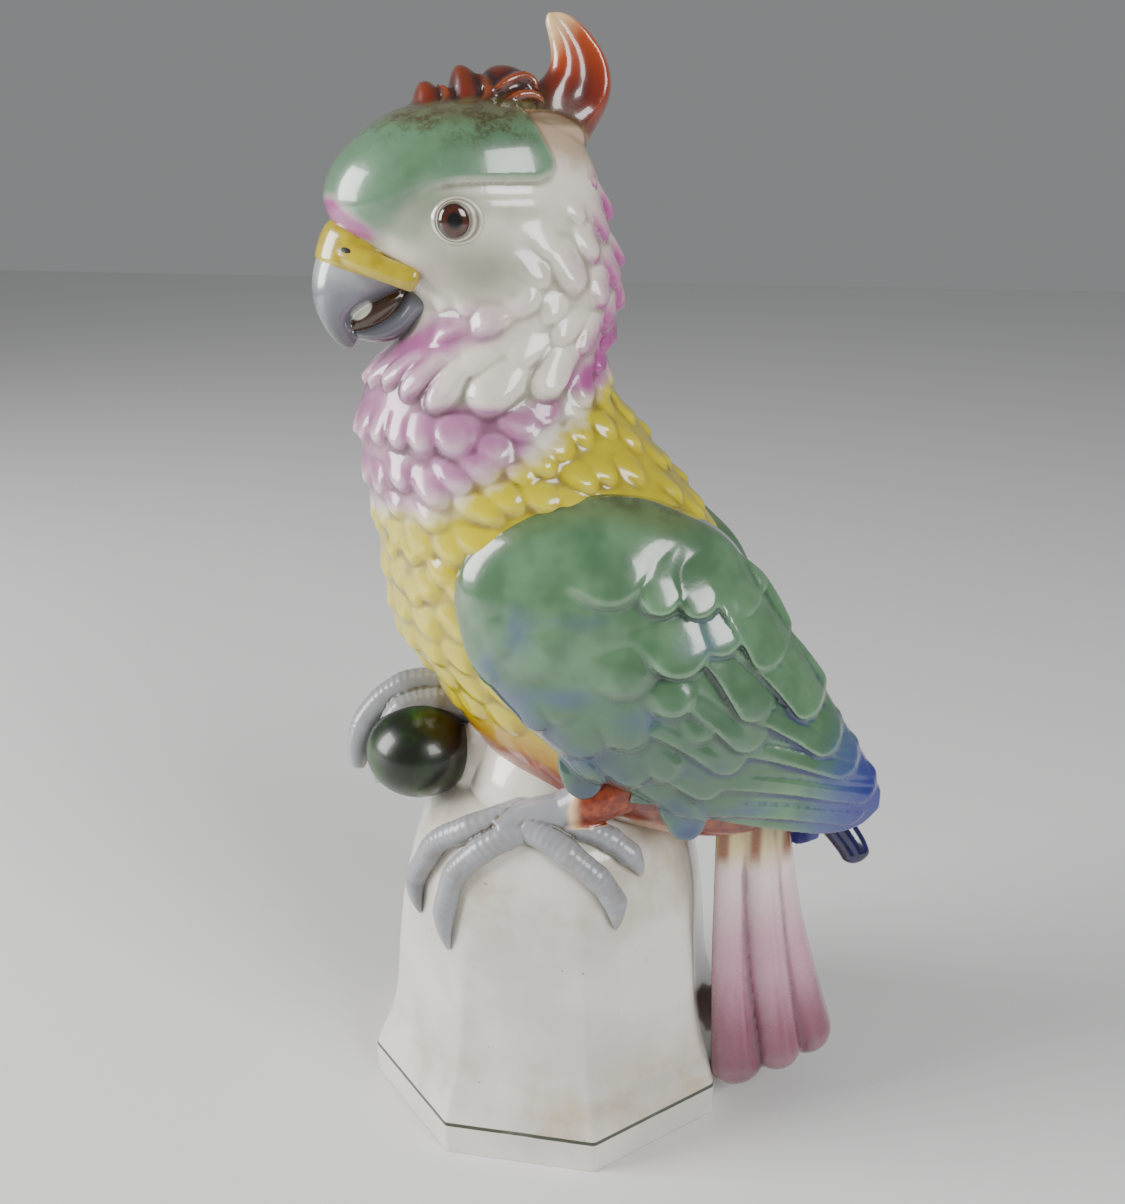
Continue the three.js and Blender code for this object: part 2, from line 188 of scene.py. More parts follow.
# Overlapping shells become one skin, and the glaze rounds what is sharp
def fused(piece):
    voxel, rounds, most = casting[piece.name]
    pick(piece)
    cast = piece.modifiers.new("cast", "REMESH")
    cast.mode = "VOXEL"
    cast.voxel_size = voxel * mm
    bpy.ops.object.modifier_apply(modifier=cast.name)
    soften = piece.modifiers.new("glaze", "SMOOTH")
    soften.factor = 0.5
    soften.iterations = rounds
    bpy.ops.object.modifier_apply(modifier=soften.name)
    faces = len(piece.data.polygons) * 2
    if faces > most:
        lighten = piece.modifiers.new("lighten", "DECIMATE")
        lighten.ratio = most / faces
        bpy.ops.object.modifier_apply(modifier=lighten.name)
    bpy.ops.object.shade_smooth()
    print(piece.name, "cast in", len(piece.data.polygons), "faces")
    return piece


def readPoints(piece, what):
    flat = np.zeros(len(piece.data.vertices) * 3)
    piece.data.vertices.foreach_get(what, flat)
    return flat.reshape(-1, 3)


def pointsOf(piece):
    return readPoints(piece, "co") / mm


# How near each point is to another surface: 1 on it, 0 further off than `reach` millimetres;
# only the points of `some` are asked
def nearness(points, tree, reach, some=None):
    near = np.zeros(len(points))
    within = np.arange(len(points)) if some is None else np.nonzero(some)[0]
    for i in within:
        hit = tree.find_nearest(Vector(points[i] * mm), reach * mm)
        if hit[0] is not None:
            near[i] = 1 - hit[3] / (reach * mm)
    return near


def surfaceOf(piece):
    points = [v.co.copy() for v in piece.data.vertices]
    return BVHTree.FromPolygons(points, [list(f.vertices) for f in piece.data.polygons])


def mark(piece, name, values):
    layer = piece.data.attributes.new(name, "FLOAT", "POINT")
    layer.data.foreach_set("value", np.asarray(values, np.float32))


# How far each point lies in a hollow of the skin, in millimetres, or stands on a ridge, below 0;
# `give` is how far a point moves to the middle of its neighbours in a round
def hollowOf(piece, rounds, give=0.6):
    points = pointsOf(piece)
    many = len(points)
    ends = np.zeros(len(piece.data.edges) * 2, int)
    piece.data.edges.foreach_get("vertices", ends)
    a, b = ends.reshape(-1, 2).T
    count = np.bincount(a, minlength=many) + np.bincount(b, minlength=many)
    smooth = points.copy()
    for _ in range(rounds):
        total = np.stack([np.bincount(a, smooth[b, k], many) + np.bincount(b, smooth[a, k], many)
                          for k in range(3)], 1)
        smooth = (1 - give) * smooth + give * total / np.maximum(count, 1)[:, None]
    return ((smooth - points) * readPoints(piece, "normal")).sum(1)


body = {
    # Body, neck and head: [height, front x, back x, half width, turn about the neck in degrees]
    "rows": [
        [108, 48, 76, 12, 0],
        [110, 46, 78, 14, 0],
        [115, 22, 82, 25, 0],
        [123, -3, 83, 33, 0],
        [135, -22, 81.5, 38, 0],
        [150, -34, 79, 42, 0],
        [167, -44.5, 75, 45, 0],
        [181, -55, 70.5, 46.5, 0],
        [200, -59.5, 62, 46.5, 0],
        [218, -62, 55, 45.5, 0],
        [229, -63.5, 48, 44.5, 0],
        [240, -65.5, 39, 42.5, 0],
        [253, -66.5, 28.5, 39.5, 1],
        [263, -64.5, 20, 37, 4],
        [272, -60, 17, 35, 8],
        [279, -54.5, 17.5, 33.5, 12],
        [286, -48, 19, 32, 16],
        [294, -46, 20.5, 31, 20],
        [302, -52, 21, 30.5, 22],
        [310, -61, 19.5, 30, 23],
        [318, -68, 17.5, 29.5, 23],
        [326, -71, 15.5, 29, 23],
        [334, -68.5, 13.5, 27.5, 23],
        [342, -61.5, 9.5, 25, 23],
        [347.5, -53.5, 6, 20.5, 23],
        [351, -45, 1, 14.5, 23],
        [353.6, -31, -8, 6, 23],
    ],
    "neckX": -18,  # the head turns about this upright line
    "headTurn": 23,
    "levels": [[108.4, 340, 0.8], [340, 353.5, 0.4]],  # heights of the skin's rings: [from, to, step]
    "around": 340,  # points on a ring
}


# A place in the straight figure, turned about the neck
def turned(x, y, z, turn):
    a = np.radians(turn)
    dx = x - body["neckX"]
    return np.stack([body["neckX"] + dx * np.cos(a) - y * np.sin(a),
                     dx * np.sin(a) + y * np.cos(a), z + 0 * dx], -1)


# A place in the head, given as if it looked straight ahead
def onHead(x, y, z):
    return turned(x, y, z, body["headTurn"])


# The way back: the x and y that points have before their turn
def straightened(points, turn):
    a = np.radians(turn)
    dx = points[:, 0] - body["neckX"]
    return (body["neckX"] + dx * np.cos(a) + points[:, 1] * np.sin(a),
            -dx * np.sin(a) + points[:, 1] * np.cos(a))


def inHead(points):
    return np.stack([*straightened(points, body["headTurn"]), points[:, 2]], -1)


# A point of the bare skin at a height and a bearing from the back
def onBody(z, bearing):
    _, front, back, half, turn = np.moveaxis(between(body["rows"], z), -1, 0)
    x = (front + back) / 2 + (back - front) / 2 * np.cos(bearing)
    return turned(x, half * np.sin(bearing), z, turn)


# The bearing of a point near the bare skin
def bearingOf(points):
    _, front, back, half, turn = np.moveaxis(between(body["rows"], points[:, 2]), -1, 0)
    x, y = straightened(points, turn)
    return np.arctan2(y / half, (x - (front + back) / 2) / ((back - front) / 2))


plumage = {
    # Feathers of both sides: [bearing from the back, height of the tip, width, length, thickness]
    "lobes": [
        [9, 332, 6, 7, 4.2], [24, 328, 8, 10, 2], [6, 317, 10, 14, 3.8], [27, 312, 9.5, 13, 2.4],
        [46, 317.5, 7, 8.5, 2], [45, 306, 10, 14, 2.4], [69, 307, 9, 12, 1.4], [8, 302, 10.5, 14, 4],
        [27, 297, 10.5, 14, 3], [63, 297, 11.5, 18, 3.4], [82, 299.5, 9, 11, 1.6],
        [43, 292, 9.5, 14, 2.8], [94, 291, 14, 13, 3], [124, 291, 9, 9, 1.9], [142, 292, 8, 9, 1.9],
        [75, 289, 8, 9, 2], [108, 285, 13, 12, 3], [10, 289, 10.5, 14, 4], [29, 284, 10, 13, 3.2],
        [130, 281.5, 12.5, 10, 2.8], [45, 277.5, 10.5, 15, 3.8], [5, 277.5, 10.5, 13, 3.6],
        [62, 281, 11, 12, 2.6], [20, 277, 9, 12, 3.2], [20, 270, 9, 11, 3.4], [99, 272, 12, 12, 2],
        [76, 274, 14, 12, 1.8], [55.5, 264.5, 15, 23, 5], [80.5, 261, 18, 19, 4.4],
        [104, 262, 10.5, 19, 4], [34.5, 261, 11, 17, 3.6], [120.5, 265, 10.5, 18, 3.6],
        [137, 267, 10.5, 15, 3.2], [16, 262, 10, 13, 3], [3, 265, 9, 12, 2.6], [153, 266, 10.5, 13, 3],
        [170, 265, 10.5, 13, 3], [67.5, 253, 15, 13, 2.4], [96, 247.5, 15, 15, 3.2],
        [110.5, 248.5, 11, 14, 2.8], [122, 249, 10, 14, 3], [135, 249, 10, 13, 2.6],
        [149, 248, 11, 14, 2.8], [165, 247.5, 11, 14, 2.8], [180, 248.5, 11, 14, 2.8],
        [111, 231.5, 13.5, 14, 3.4], [125, 235.5, 10.5, 13, 2.8], [88.5, 240.5, 15.5, 14, 3],
        [140, 231.5, 10.5, 13, 2.6], [155, 232.5, 11, 13, 2.6], [171, 230.5, 11, 13, 2.6],
        [58, 246.5, 15, 14, 2.8], [28.5, 252, 10, 10, 2.4], [44, 239, 9.5, 11, 2.4],
        [30, 237.5, 10, 11, 2.4], [14, 230, 9, 11, 2.4], [75, 240.5, 10, 9, 2.2],
        [44, 251, 10, 10, 2.2], [17, 246.5, 9, 10, 2.4], [5, 239, 9, 10, 2.2], [3, 253, 9, 10, 2.2],
        [6, 222, 9, 11, 2.2], [24, 224, 9, 11, 2], [116, 223.5, 12.5, 12, 2.4],
        [129, 211, 11, 11, 2.4], [133, 196, 11.5, 12, 2.2], [129, 184.5, 11, 11, 1.9],
        [118, 190.5, 11, 10, 1.9], [117, 205.5, 12.5, 12, 2.2], [133, 226, 10.5, 10, 2.4],
        [102, 217.5, 12, 11, 2], [66, 243, 11, 12, 2.8], [82, 246, 11, 11, 2.8],
        [100, 237, 12, 12, 2.8], [72, 232, 12, 12, 2.8], [54, 237, 12, 12, 3], [62, 230, 12, 12, 2.6],
        [84, 232, 12, 12, 2.8], [93, 228, 12, 12, 2.6], [48, 228, 11, 12, 2.4],
        [97, 229.5, 12, 10, 2.2], [143, 210, 10, 10, 2], [105, 200, 11, 10, 1.6],
    ],
    # Plainer rows where the list leaves the skin bare: [height, from bearing, to bearing, thickness]
    "rows": [
        [257, 0, 60, 1.4], [214, 0, 178, 1.8], [218, 145, 178, 2.2], [200, 0, 178, 2],
        [187, 100, 178, 2.4], [176, 96, 178, 2.2], [165, 96, 178, 2], [154, 96, 178, 1.8],
        [186, 0, 60, 1.3], [172, 0, 60, 1.2], [158, 0, 60, 1.1], [144, 0, 60, 1],
    ],
    "rowWidth": 11, "rowLength": 13, "rowPlump": 1.12,
    "girth": [43, 33, 255],  # the figure's radius below and above a height, which spaces the rows
    "seed": 7,
    "stray": [2.5, 1.6, 0.1],  # chance in the far side's bearings, heights and widths
    "rowStray": [2, 2, 0.12],  # the same for the rows
    "bold": 1.25,  # all thicknesses times this
    "hollow": 0.8,  # how far the skin dips under a feather's tip
    "widen": 0.5,  # how much wider a feather gets towards its root
    "tipRound": 0.62,  # how far up a tip is round, as a share of its width
    "round": 0.62,  # where a feather starts to round off, as a share of its half width
    "dome": 0.3,  # how much lower a feather is at its edge
    "bare": [[98, 84], [300, 290]],  # bearings and heights where the feathers run out to the face
}
capShape = {
    "edge": 331.5,
    "dip": 10, "dipFrom": [112, 176],  # its lower edge dips in front, between two bearings
    "thick": 2.3,
    "behind": 52, "corner": 9,  # bearing of its rear edge, and the radius of its rear corner
    "lean": 0.8, "leanFrom": 334,  # its rear edge leans forward over a height
    "perDegree": 0.52,  # millimetres of head to a degree of bearing
    # Its edge is crisp behind, and runs out in front
    "front": [95, 150], "soft": [1.6, 13], "frontRun": 9,
    "folds": [[3.6, 0.5, 1.2], [7.4, 0.35, 1.4]],  # under its edge: [distance, height, width]
    "foldsFrom": [[52, 70], [122, 100]],  # bearings where they begin and end
}


def fromBack(bearing):
    return np.abs((np.degrees(bearing) + 540) % 360 - 180)


# The height of the cap's edge at a bearing
def browLine(bearing):
    return capShape["edge"] - capShape["dip"] * smoothstep(*capShape["dipFrom"], fromBack(bearing))


# 0 behind, 1 over the brow and the forehead
def frontness(bearing):
    return smoothstep(*capShape["front"], fromBack(bearing))


# How far inside the cap's edge a place lies, in millimetres, below 0 outside it
def insideCap(bearing, z):
    corner = capShape["corner"]
    over = z - browLine(bearing)
    lean = capShape["lean"] * np.maximum(z - capShape["leanFrom"], 0)
    rear = (fromBack(bearing) - capShape["behind"] - lean) * capShape["perDegree"]
    return corner - np.hypot(np.maximum(corner - over, 0), np.maximum(corner - rear, 0))


# The cap stands proud; its edge is crisp behind and runs out softly over the brow and the forehead
def capRelief(bearing, z):
    front = frontness(bearing)
    inside = insideCap(bearing, z) + capShape["frontRun"] * front
    soft = capShape["soft"][0] + capShape["soft"][1] * front
    return capShape["thick"] * smoothstep(-soft / 2, soft / 2, inside)


# Two low folds run back from the eye under the cap
def browFolds(bearing, z):
    down = browLine(bearing) - z
    rear, front = capShape["foldsFrom"]
    where = smoothstep(*rear, fromBack(bearing)) * smoothstep(*front, fromBack(bearing))
    return where * sum(deep * bell(down, at, wide) for at, deep, wide in capShape["folds"])


# Every feather: the listed ones on both sides, then the plain rows, with a little chance in them
def featherList():
    chance = np.random.default_rng(plumage["seed"])
    feathers = []
    for bearing, tip, width, length, thick in plumage["lobes"]:
        for side in (-1, 1):
            if side > 0 and bearing in (0, 180):
                continue
            shift = chance.uniform(-1, 1, 3) * (side > 0) * plumage["stray"]
            feathers.append([side * bearing + shift[0], tip + shift[1],
                             width * (1 + shift[2]), length, thick])
    width, length = plumage["rowWidth"], plumage["rowLength"]
    below, above, middle = plumage["girth"]
    for k, (height, first, last, thick) in enumerate(plumage["rows"]):
        step = math.degrees(width / (below if height < middle else above))
        for bearing in np.arange(first + step * (k % 2) / 2, last, step):
            for side in (-1, 1):
                shift = chance.uniform(-1, 1, 3) * plumage["rowStray"]
                feathers.append([side * bearing + shift[0], height + shift[1],
                                 width * (plumage["rowPlump"] + shift[2]), length, thick])
    return np.array(feathers)


# How near a feather's edge a place lies: 0 on its middle line, 1 on its edge, with a round tip
def featherEdge(up, across, tipRound):
    return np.where(up < tipRound, np.hypot(across, 1 - up / tipRound), np.abs(across))


# Relief of the feathers over the bare skin, and how near each point is to its feather's tip
def plumageRelief(bearing, z):
    relief = np.zeros(z.shape)
    tipness = np.zeros(z.shape)
    _, front, back, half, _ = np.moveaxis(between(body["rows"], z), -1, 0)
    radius = (half + (back - front) / 2) / 2
    for at, tip, width, length, thick in featherList():
        near = (z > tip - 4) & (z < tip + length + 2)
        off = (bearing[near] - math.radians(at) + math.pi) % (2 * math.pi) - math.pi
        up = z[near] - tip
        share = np.clip(up / length, 0, 1)
        across = off * radius[near] / (width / 2) / (1 + plumage["widen"] * share)
        tipRound = width * plumage["tipRound"]
        rho = featherEdge(up, across, tipRound)
        dome = 1 - plumage["dome"] * np.clip(rho, 0, 1) ** 2
        edge = smoothstep(1.0, lerp(plumage["round"], 0.1, share), rho)
        height = plumage["bold"] * thick * (1 - share) ** 0.9 * dome * edge
        under = smoothstep(1.5, 1.02, rho) * smoothstep(0.4, -0.3, up / tipRound - 0.3) * (rho > 1)
        here = relief[near]
        relief[near] = np.where(height > here, height, here) - plumage["hollow"] * under * (here < 0.6)
        tipness[near] = np.where((height >= here) & (height > 0.05), 1 - share, tipness[near])
    return relief, tipness


# Where feathers lie: not on the face, and not on the cap
def coverFade(bearing, z):
    aside, below = plumage["bare"]
    face = smoothstep(*aside, fromBack(bearing)) + smoothstep(*below, z)
    return np.clip(face, 0, 1) * smoothstep(browLine(bearing) + 2, browLine(bearing) - 3, z)


def makeBodySkin():
    z = np.concatenate([np.arange(*run) for run in body["levels"]])
    zz, bb = np.meshgrid(z, ringOf(body["around"]), indexing="ij")
    points = onBody(zz, bb)
    sideways = onBody(zz, bb + 0.01) - onBody(zz, bb - 0.01)
    upward = onBody(np.minimum(zz + 0.3, body["levels"][-1][1]), bb) - onBody(zz - 0.3, bb)
    out = np.cross(sideways, upward)
    out /= np.maximum(np.linalg.norm(out, axis=-1), 1e-9)[..., None]
    relief, _ = plumageRelief(bb, zz)
    relief = relief * coverFade(bb, zz) + capRelief(bb, zz) + browFolds(bb, zz)
    return skin("plumage", points + out * relief[..., None])


# A flattened loft between an outer and an inner edge, in the turned head:
# [outer x, outer z, inner x, inner z, half width]; wider(turn, share) widens it
def headLoft(name, rows, steps, sides, wider=None):
    turn = ringOf(sides)[None]
    s = (1 + np.cos(turn)) / 2
    outerX, outerZ, innerX, innerZ, half = finer(rows, steps).T[:, :, None]
    y = half * np.sin(turn)
    if wider:
        y = y * wider(turn, np.linspace(0, 1, steps)[:, None])
    return skin(name, onHead(lerp(innerX, outerX, s), y, lerp(innerZ, outerZ, s)))


crest = {
    # Tall plume: [outer x, outer z, inner x, inner z, half width]
    "tall": [
        [-12, 352, 8, 336, 9],
        [-7, 358, 13, 345, 8.6],
        [-2.2, 362.6, 17.2, 352.4, 8],
        [-0.6, 366.4, 19, 359.6, 7],
        [-0.6, 370.2, 17.2, 367.4, 5.8],
        [-1.3, 373.8, 12, 374.6, 4.6],
        [-2.2, 377.4, 6.2, 379.2, 3],
        [-1.8, 380.2, 1.4, 380.6, 1.2],
    ],
    "trough": 0.5,  # how deep the hollow along its sides is, as a share of its thickness
    "rim": 0.3,  # how far its rolled rear edge swells, likewise
    # Small plumes, each a wave that leans forward: rows as above, the foot first
    "small": [
        [[-53.5, 341, -44, 340, 9], [-52.6, 345, -45, 345, 7.5], [-51.4, 348.8, -46.2, 348.8, 5.6],
         [-50.4, 351, -47.6, 351, 3.4], [-49.6, 352, -48.8, 352, 1.4]],
        [[-47.5, 344, -32.6, 343, 12], [-46.4, 349, -33, 348.5, 11], [-44.8, 353.5, -34, 353.5, 9],
         [-43.6, 357, -35.6, 357.2, 6.6], [-42.4, 359.4, -38, 359.4, 4],
         [-41, 360.3, -39.6, 360.3, 1.6]],
        [[-36.5, 346, -20.4, 344, 13], [-35, 352, -21.2, 351, 12], [-33.4, 357.5, -22, 357, 9.6],
         [-32.4, 361.2, -23.6, 361.4, 7], [-31.4, 363.8, -26.2, 363.8, 4.4],
         [-30.2, 364.9, -28.4, 364.9, 1.8]],
        [[-25.5, 346, -3, 344, 13.6], [-24.6, 353, -3.4, 351, 12.6], [-23.6, 359, -5, 357.5, 10.4],
         [-22, 362.6, -7.6, 361.6, 8], [-19.6, 364.5, -11.4, 364.1, 5], [-17, 365, -14.6, 364.9, 2.2]],
    ],
    # Curled edges on both sides of the crown, in the straight head: paths of a thin ridge
    "curls": [
        [[-36, 3.5, 359.2], [-34.6, 6.5, 356.6], [-35.4, 9.4, 353.4], [-39.5, 11.6, 350.6]],
        [[-24, 4, 362.4], [-22.2, 7.6, 359], [-22.6, 10.8, 355.4], [-27, 13.4, 352.2]],
        [[-20.5, 10.6, 357.4], [-16, 10, 360], [-11, 8.2, 361.6], [-7.6, 7.6, 360.4], [-6.4, 9, 357.8]],
        [[-17.5, 12.8, 354.2], [-12.5, 12.2, 356], [-8, 11.4, 356], [-4.6, 11.6, 353.6]],
    ],
    "curlRadius": 1.5,
    # The fold that joins the tall plume to the crown: a path and its radius
    "fold": [[-16, 13.6, 347.6], [-8, 12.8, 347.8], [-1, 10.8, 346.8], [5, 7.4, 344.4], [8, 4, 341.6]],
    "foldRadius": 3.8,
}


# The tall plume's sides are hollow between its front ridge and its rolled rear edge
def crestRoll(turn, share):
    middle = np.cos(turn)
    dip = crest["trough"] * bell(middle, -0.02, 0.5) * smoothstep(0.05, 0.3, share)
    roll = crest["rim"] * bell(middle, -0.78, 0.16) * smoothstep(0.12, 0.35, share)
    return 1 - dip + roll


def makeTallPlume():
    return headLoft("tall", crest["tall"], 90, 84, crestRoll)


def makeSmallPlumes():
    return joined("smallPlumes", [headLoft("plume", rows, 30, 44) for rows in crest["small"]])


# A ridge on each side of the head, thinner at both ends
def ridges(name, path, radius, lead, sides, steps):
    def section(s, turn):
        return radius * np.sin(math.pi * (lead + (1 - 2 * lead) * s)) ** 0.6
    return [limb(name, [onHead(x, side * y, z) for x, y, z in path], section, sides, steps)
            for side in (-1, 1)]


def makeCurls():
    made = []
    for path in crest["curls"]:
        made += ridges("curl", path, crest["curlRadius"], 0.06, 16, 30)
    made += ridges("fold", crest["fold"], crest["foldRadius"], 0.08, 24, 40)
    return joined("curls", made)


wing = {
    # From shoulder to tip: [x, low z, low y, high z, high y, furthest y, thickness]
    "rows": [
        [-24, 194, 40, 212, 40, 44.5, 10],
        [-20, 182, 41, 219, 41.5, 48.5, 14],
        [-10, 169.5, 41, 227.5, 41, 52.5, 18],
        [2, 157.5, 41, 234.5, 38, 54.5, 22],
        [18, 144, 40, 238, 34, 54.5, 24],
        [34, 138, 40, 236.6, 30, 52, 24],
        [48, 131.5, 38, 231, 27, 48, 22],
        [62, 127.5, 35, 222, 23, 42.5, 18],
        [75, 124, 31, 203, 20, 36.5, 13],
        [88, 120.5, 26, 183, 17, 30, 10],
        [101, 118, 20, 161, 14.5, 23.5, 8],
        [111, 119.5, 15, 144, 12.5, 17, 7],
        [117, 125, 12, 132, 12, 13, 5],
    ],
    # Soft scallops of the shoulder:
    # [tip x, tip z, angle, width, length, thickness, roundness of the edge]
    "scallops": [
        [31, 206.5, 76, 25, 24, 3.6, 0.82], [46.5, 204.5, 66, 13, 18, 2.6, 0.8],
        [58.6, 203.5, 60, 13, 18, 3, 0.85], [72, 202.5, 56, 13, 16, 3, 0.85],
        [66, 191, 62, 15, 18, 3.6, 0.88], [53.5, 184, 70, 20, 20, 4, 0.85],
        [36, 176, 74, 19, 18, 2, 0.6], [52, 170, 62, 15, 16, 2.2, 0.7], [7, 180, 74, 20, 18, 1.6, 0.5],
        [4, 160.5, 76, 11, 13, 2.6, 0.8], [20.5, 152, 70, 17, 18, 2.6, 0.7],
        [37, 157, 64, 16, 18, 2, 0.55], [-6, 186, 74, 15, 16, 1.3, 0.4],
        [14, 165, 72, 14, 14, 1.6, 0.5], [38, 142, 58, 15, 16, 1.8, 0.6],
        [-12, 174, 66, 12, 14, 1.6, 0.5], [-2, 147, 60, 12, 13, 1.6, 0.6],
        [8, 213, 76, 20, 16, 1, 0.3], [60, 160, 62, 14, 16, 1.6, 0.6], [50, 146, 56, 14, 16, 1.6, 0.6],
    ],
    # Long feathers, from the lowest up: [root x, root z, tip x, tip z, half width, thickness]
    "quills": [
        [34, 137, 112.5, 126.5, 6.8, 2.2],
        [44, 149, 115.5, 134.5, 6.8, 3.6],
        [52, 164, 108.5, 145, 6.6, 4.8],
        [57, 181, 101.5, 153.5, 6.3, 5.8],
        [60, 203, 94, 166.5, 6.1, 6.6],
        [38, 158, 64.5, 141, 7.6, 4.2],
        [42, 171, 71, 150.5, 7.6, 5.2],
        [48, 184, 76.5, 158, 7.4, 6.2],
        [54, 202, 77, 168, 7.2, 7],
        [57, 220, 80, 185, 6.8, 7.6],
    ],
    "longOnes": 5,  # how many of them are the long ones of the tip
    # Grooves along a feather: [place across it, depth, width], and between which shares of it they begin
    "grooves": {"long": [[0.02, 0.75, 0.1], [-0.3, 0.5, 0.1]], "short": [[0.1, 0.35, 0.2]]},
    "grooveRun": {"long": [0.3, 0.5], "short": [0.95, 0.6]},
    "bend": 0.05,  # how far a feather bends down, as a share of its length
    "tucked": 0.22,  # how thick a feather still is at the edge under its neighbour, as a share
    "shoulder": [3.4, 26, 56],  # how far the scallops rise from the smooth shoulder, between two x
    # Feather ends that hang below the edge: [root x, root z, tip x, tip z, half width, thickness]
    "hanging": [
        [12, 155, 20, 135, 7.4, 3.4],
        [44, 141, 55.5, 121.5, 7, 3.2],
    ],
    "droop": 12, "about": [0, 205], "sink": 3,  # the far wing hangs lower: degrees, pivot, millimetres
    "farTip": [[84, 18, 118], [100, 13, 108], [109.4, 9.3, 98.6], [113, 7, 92]], "farTipRadii": [7, 5],
}


def onWing(x, share):
    _, lowZ, lowY, highZ, highY, far, _ = np.moveaxis(between(wing["rows"], x), -1, 0)
    edge = lerp(lowY, highY, np.clip(share, 0, 1))
    swell = np.sqrt(np.clip(1 - (2 * share - 1) ** 2, 0, 1))
    return np.stack([x + 0 * share, -(edge + (far - edge) * swell), lerp(lowZ, highZ, share)], -1)


# How far out the wing's face lies at a place seen from the side
def wingFace(x, z):
    rows = between(wing["rows"], x)
    share = (z - rows[..., 1]) / np.maximum(rows[..., 3] - rows[..., 1], 1)
    return -onWing(x, np.clip(share, 0, 1))[..., 1]


# The way of a long feather: its length, and how far it goes along x and z in a millimetre
def quillWay(rootX, rootZ, tipX, tipZ):
    length = math.hypot(tipX - rootX, tipZ - rootZ)
    return length, (tipX - rootX) / length, (tipZ - rootZ) / length


# Relief of the feathers over the wing's face, seen from the side
def wingRelief(x, z):
    relief = np.zeros(x.shape)
    for k, (rootX, rootZ, tipX, tipZ, half, thick) in enumerate(wing["quills"]):
        length, dx, dz = quillWay(rootX, rootZ, tipX, tipZ)
        along = (x - rootX) * dx + (z - rootZ) * dz
        share = np.clip(along / length, 0, 1)
        bend = wing["bend"] * length * np.sin(math.pi * share)
        across = ((x - rootX) * dz - (z - rootZ) * dx + bend) / half
        end = (along - (length - half)) / half
        rho = np.where(end > 0, np.hypot(np.maximum(end, 0), across), np.abs(across))
        tilt = lerp(wing["tucked"], 1, np.clip(0.5 + 0.5 * across, 0, 1))
        height = thick * tilt * (0.35 + 0.65 * smoothstep(0, 0.8, share))
        kind = "long" if k < wing["longOnes"] else "short"
        for at, deep, wide in wing["grooves"][kind]:
            height = height - deep * bell(across, at, wide) * smoothstep(*wing["grooveRun"][kind], share)
        height = height * smoothstep(1.0, 0.86, rho) * smoothstep(-0.02, 0.12, along / length)
        relief = np.maximum(relief, height)
    rise, *risen = wing["shoulder"]
    for tipX, tipZ, angle, width, length, thick, sharp in wing["scallops"]:
        a = math.radians(angle)
        up = -(x - tipX) * math.cos(a) + (z - tipZ) * math.sin(a)
        share = np.clip(up / length, 0, 1)
        across = ((x - tipX) * math.sin(a) + (z - tipZ) * math.cos(a)) / (width / 2)
        rho = featherEdge(up, across / (1 + 0.8 * share), width * 0.45)
        base = rise * smoothstep(*risen, tipX)
        height = (thick * (1 - 0.35 * np.clip(rho, 0, 1) ** 2) + base) * (1 - share) ** 0.8
        height = height * smoothstep(1.0, lerp(sharp, 0, share), rho)
        relief = np.maximum(relief, height)
    return relief


# A feather that follows the wing's face and may run past its edge; it is at least `least` thick
def laidFeather(name, feather, least):
    rootX, rootZ, tipX, tipZ, half, _ = feather
    s = np.linspace(0, 1, 90)[:, None]
    length, dx, dz = quillWay(rootX, rootZ, tipX, tipZ)
    taper = roundEnd((s * length - length + half) / half)
    width = half * (0.55 + 0.45 * smoothstep(0, 0.45, s)) * taper
    turn = ringOf(72)[None]
    off = np.cos(turn) * width - wing["bend"] * length * np.sin(math.pi * s)
    x = lerp(rootX, tipX, s) + dz * off
    z = lerp(rootZ, tipZ, s) - dx * off
    rim = np.abs(np.sin(turn)) ** 0.4
    over = np.maximum(wingRelief(x, z), least * smoothstep(0.1, 0.6, s))
    y = wingFace(x, z) + np.where(np.sin(turn) > 0, over * rim, -2.6 * rim)
    return skin(name, np.stack([x, -y, z], -1))


def makeWing(name):
    x = np.linspace(wing["rows"][0][0], wing["rows"][-1][0], 230)
    share = 0.5 - 0.5 * np.cos(np.linspace(0, math.pi, 200))
    xx, ss = np.meshgrid(x, share, indexing="ij")
    outer = onWing(xx, ss)
    relief = wingRelief(outer[..., 0], outer[..., 2])
    outer[..., 1] -= relief * smoothstep(0, 0.03, ss) * smoothstep(1, 0.97, ss)
    rows = between(wing["rows"], x)
    inner = onWing(*np.meshgrid(x, np.linspace(0.97, 0.03, 50), indexing="ij"))
    least = (np.minimum(rows[:, 2], rows[:, 4]) - rows[:, 6] * 0.8)[:, None]
    inner[..., 1] = -np.maximum(np.maximum(-inner[..., 1] - rows[:, 6][:, None], least), 4)
    pieces = [skin("wingCore", np.concatenate([outer, inner], 1))]
    for feather in wing["quills"]:
        pieces.append(laidFeather("quill", feather, 0.4))
    for feather in wing["hanging"]:
        pieces.append(laidFeather("hanging", feather, feather[-1]))
    return joined(name, pieces)


# The far wing: the near one mirrored, turned down a little about its shoulder
def placeFarWing(piece):
    x, z = wing["about"]
    there = Matrix.Translation(Vector((x, 0, z - wing["sink"])) * mm)
    back = Matrix.Translation(Vector((-x, 0, -z)) * mm)
    turn = Matrix.Rotation(math.radians(wing["droop"]), 4, "Y")
    piece.data.transform(there @ turn @ back @ Matrix.Diagonal((1, -1, 1, 1)))
    faceOut(piece)


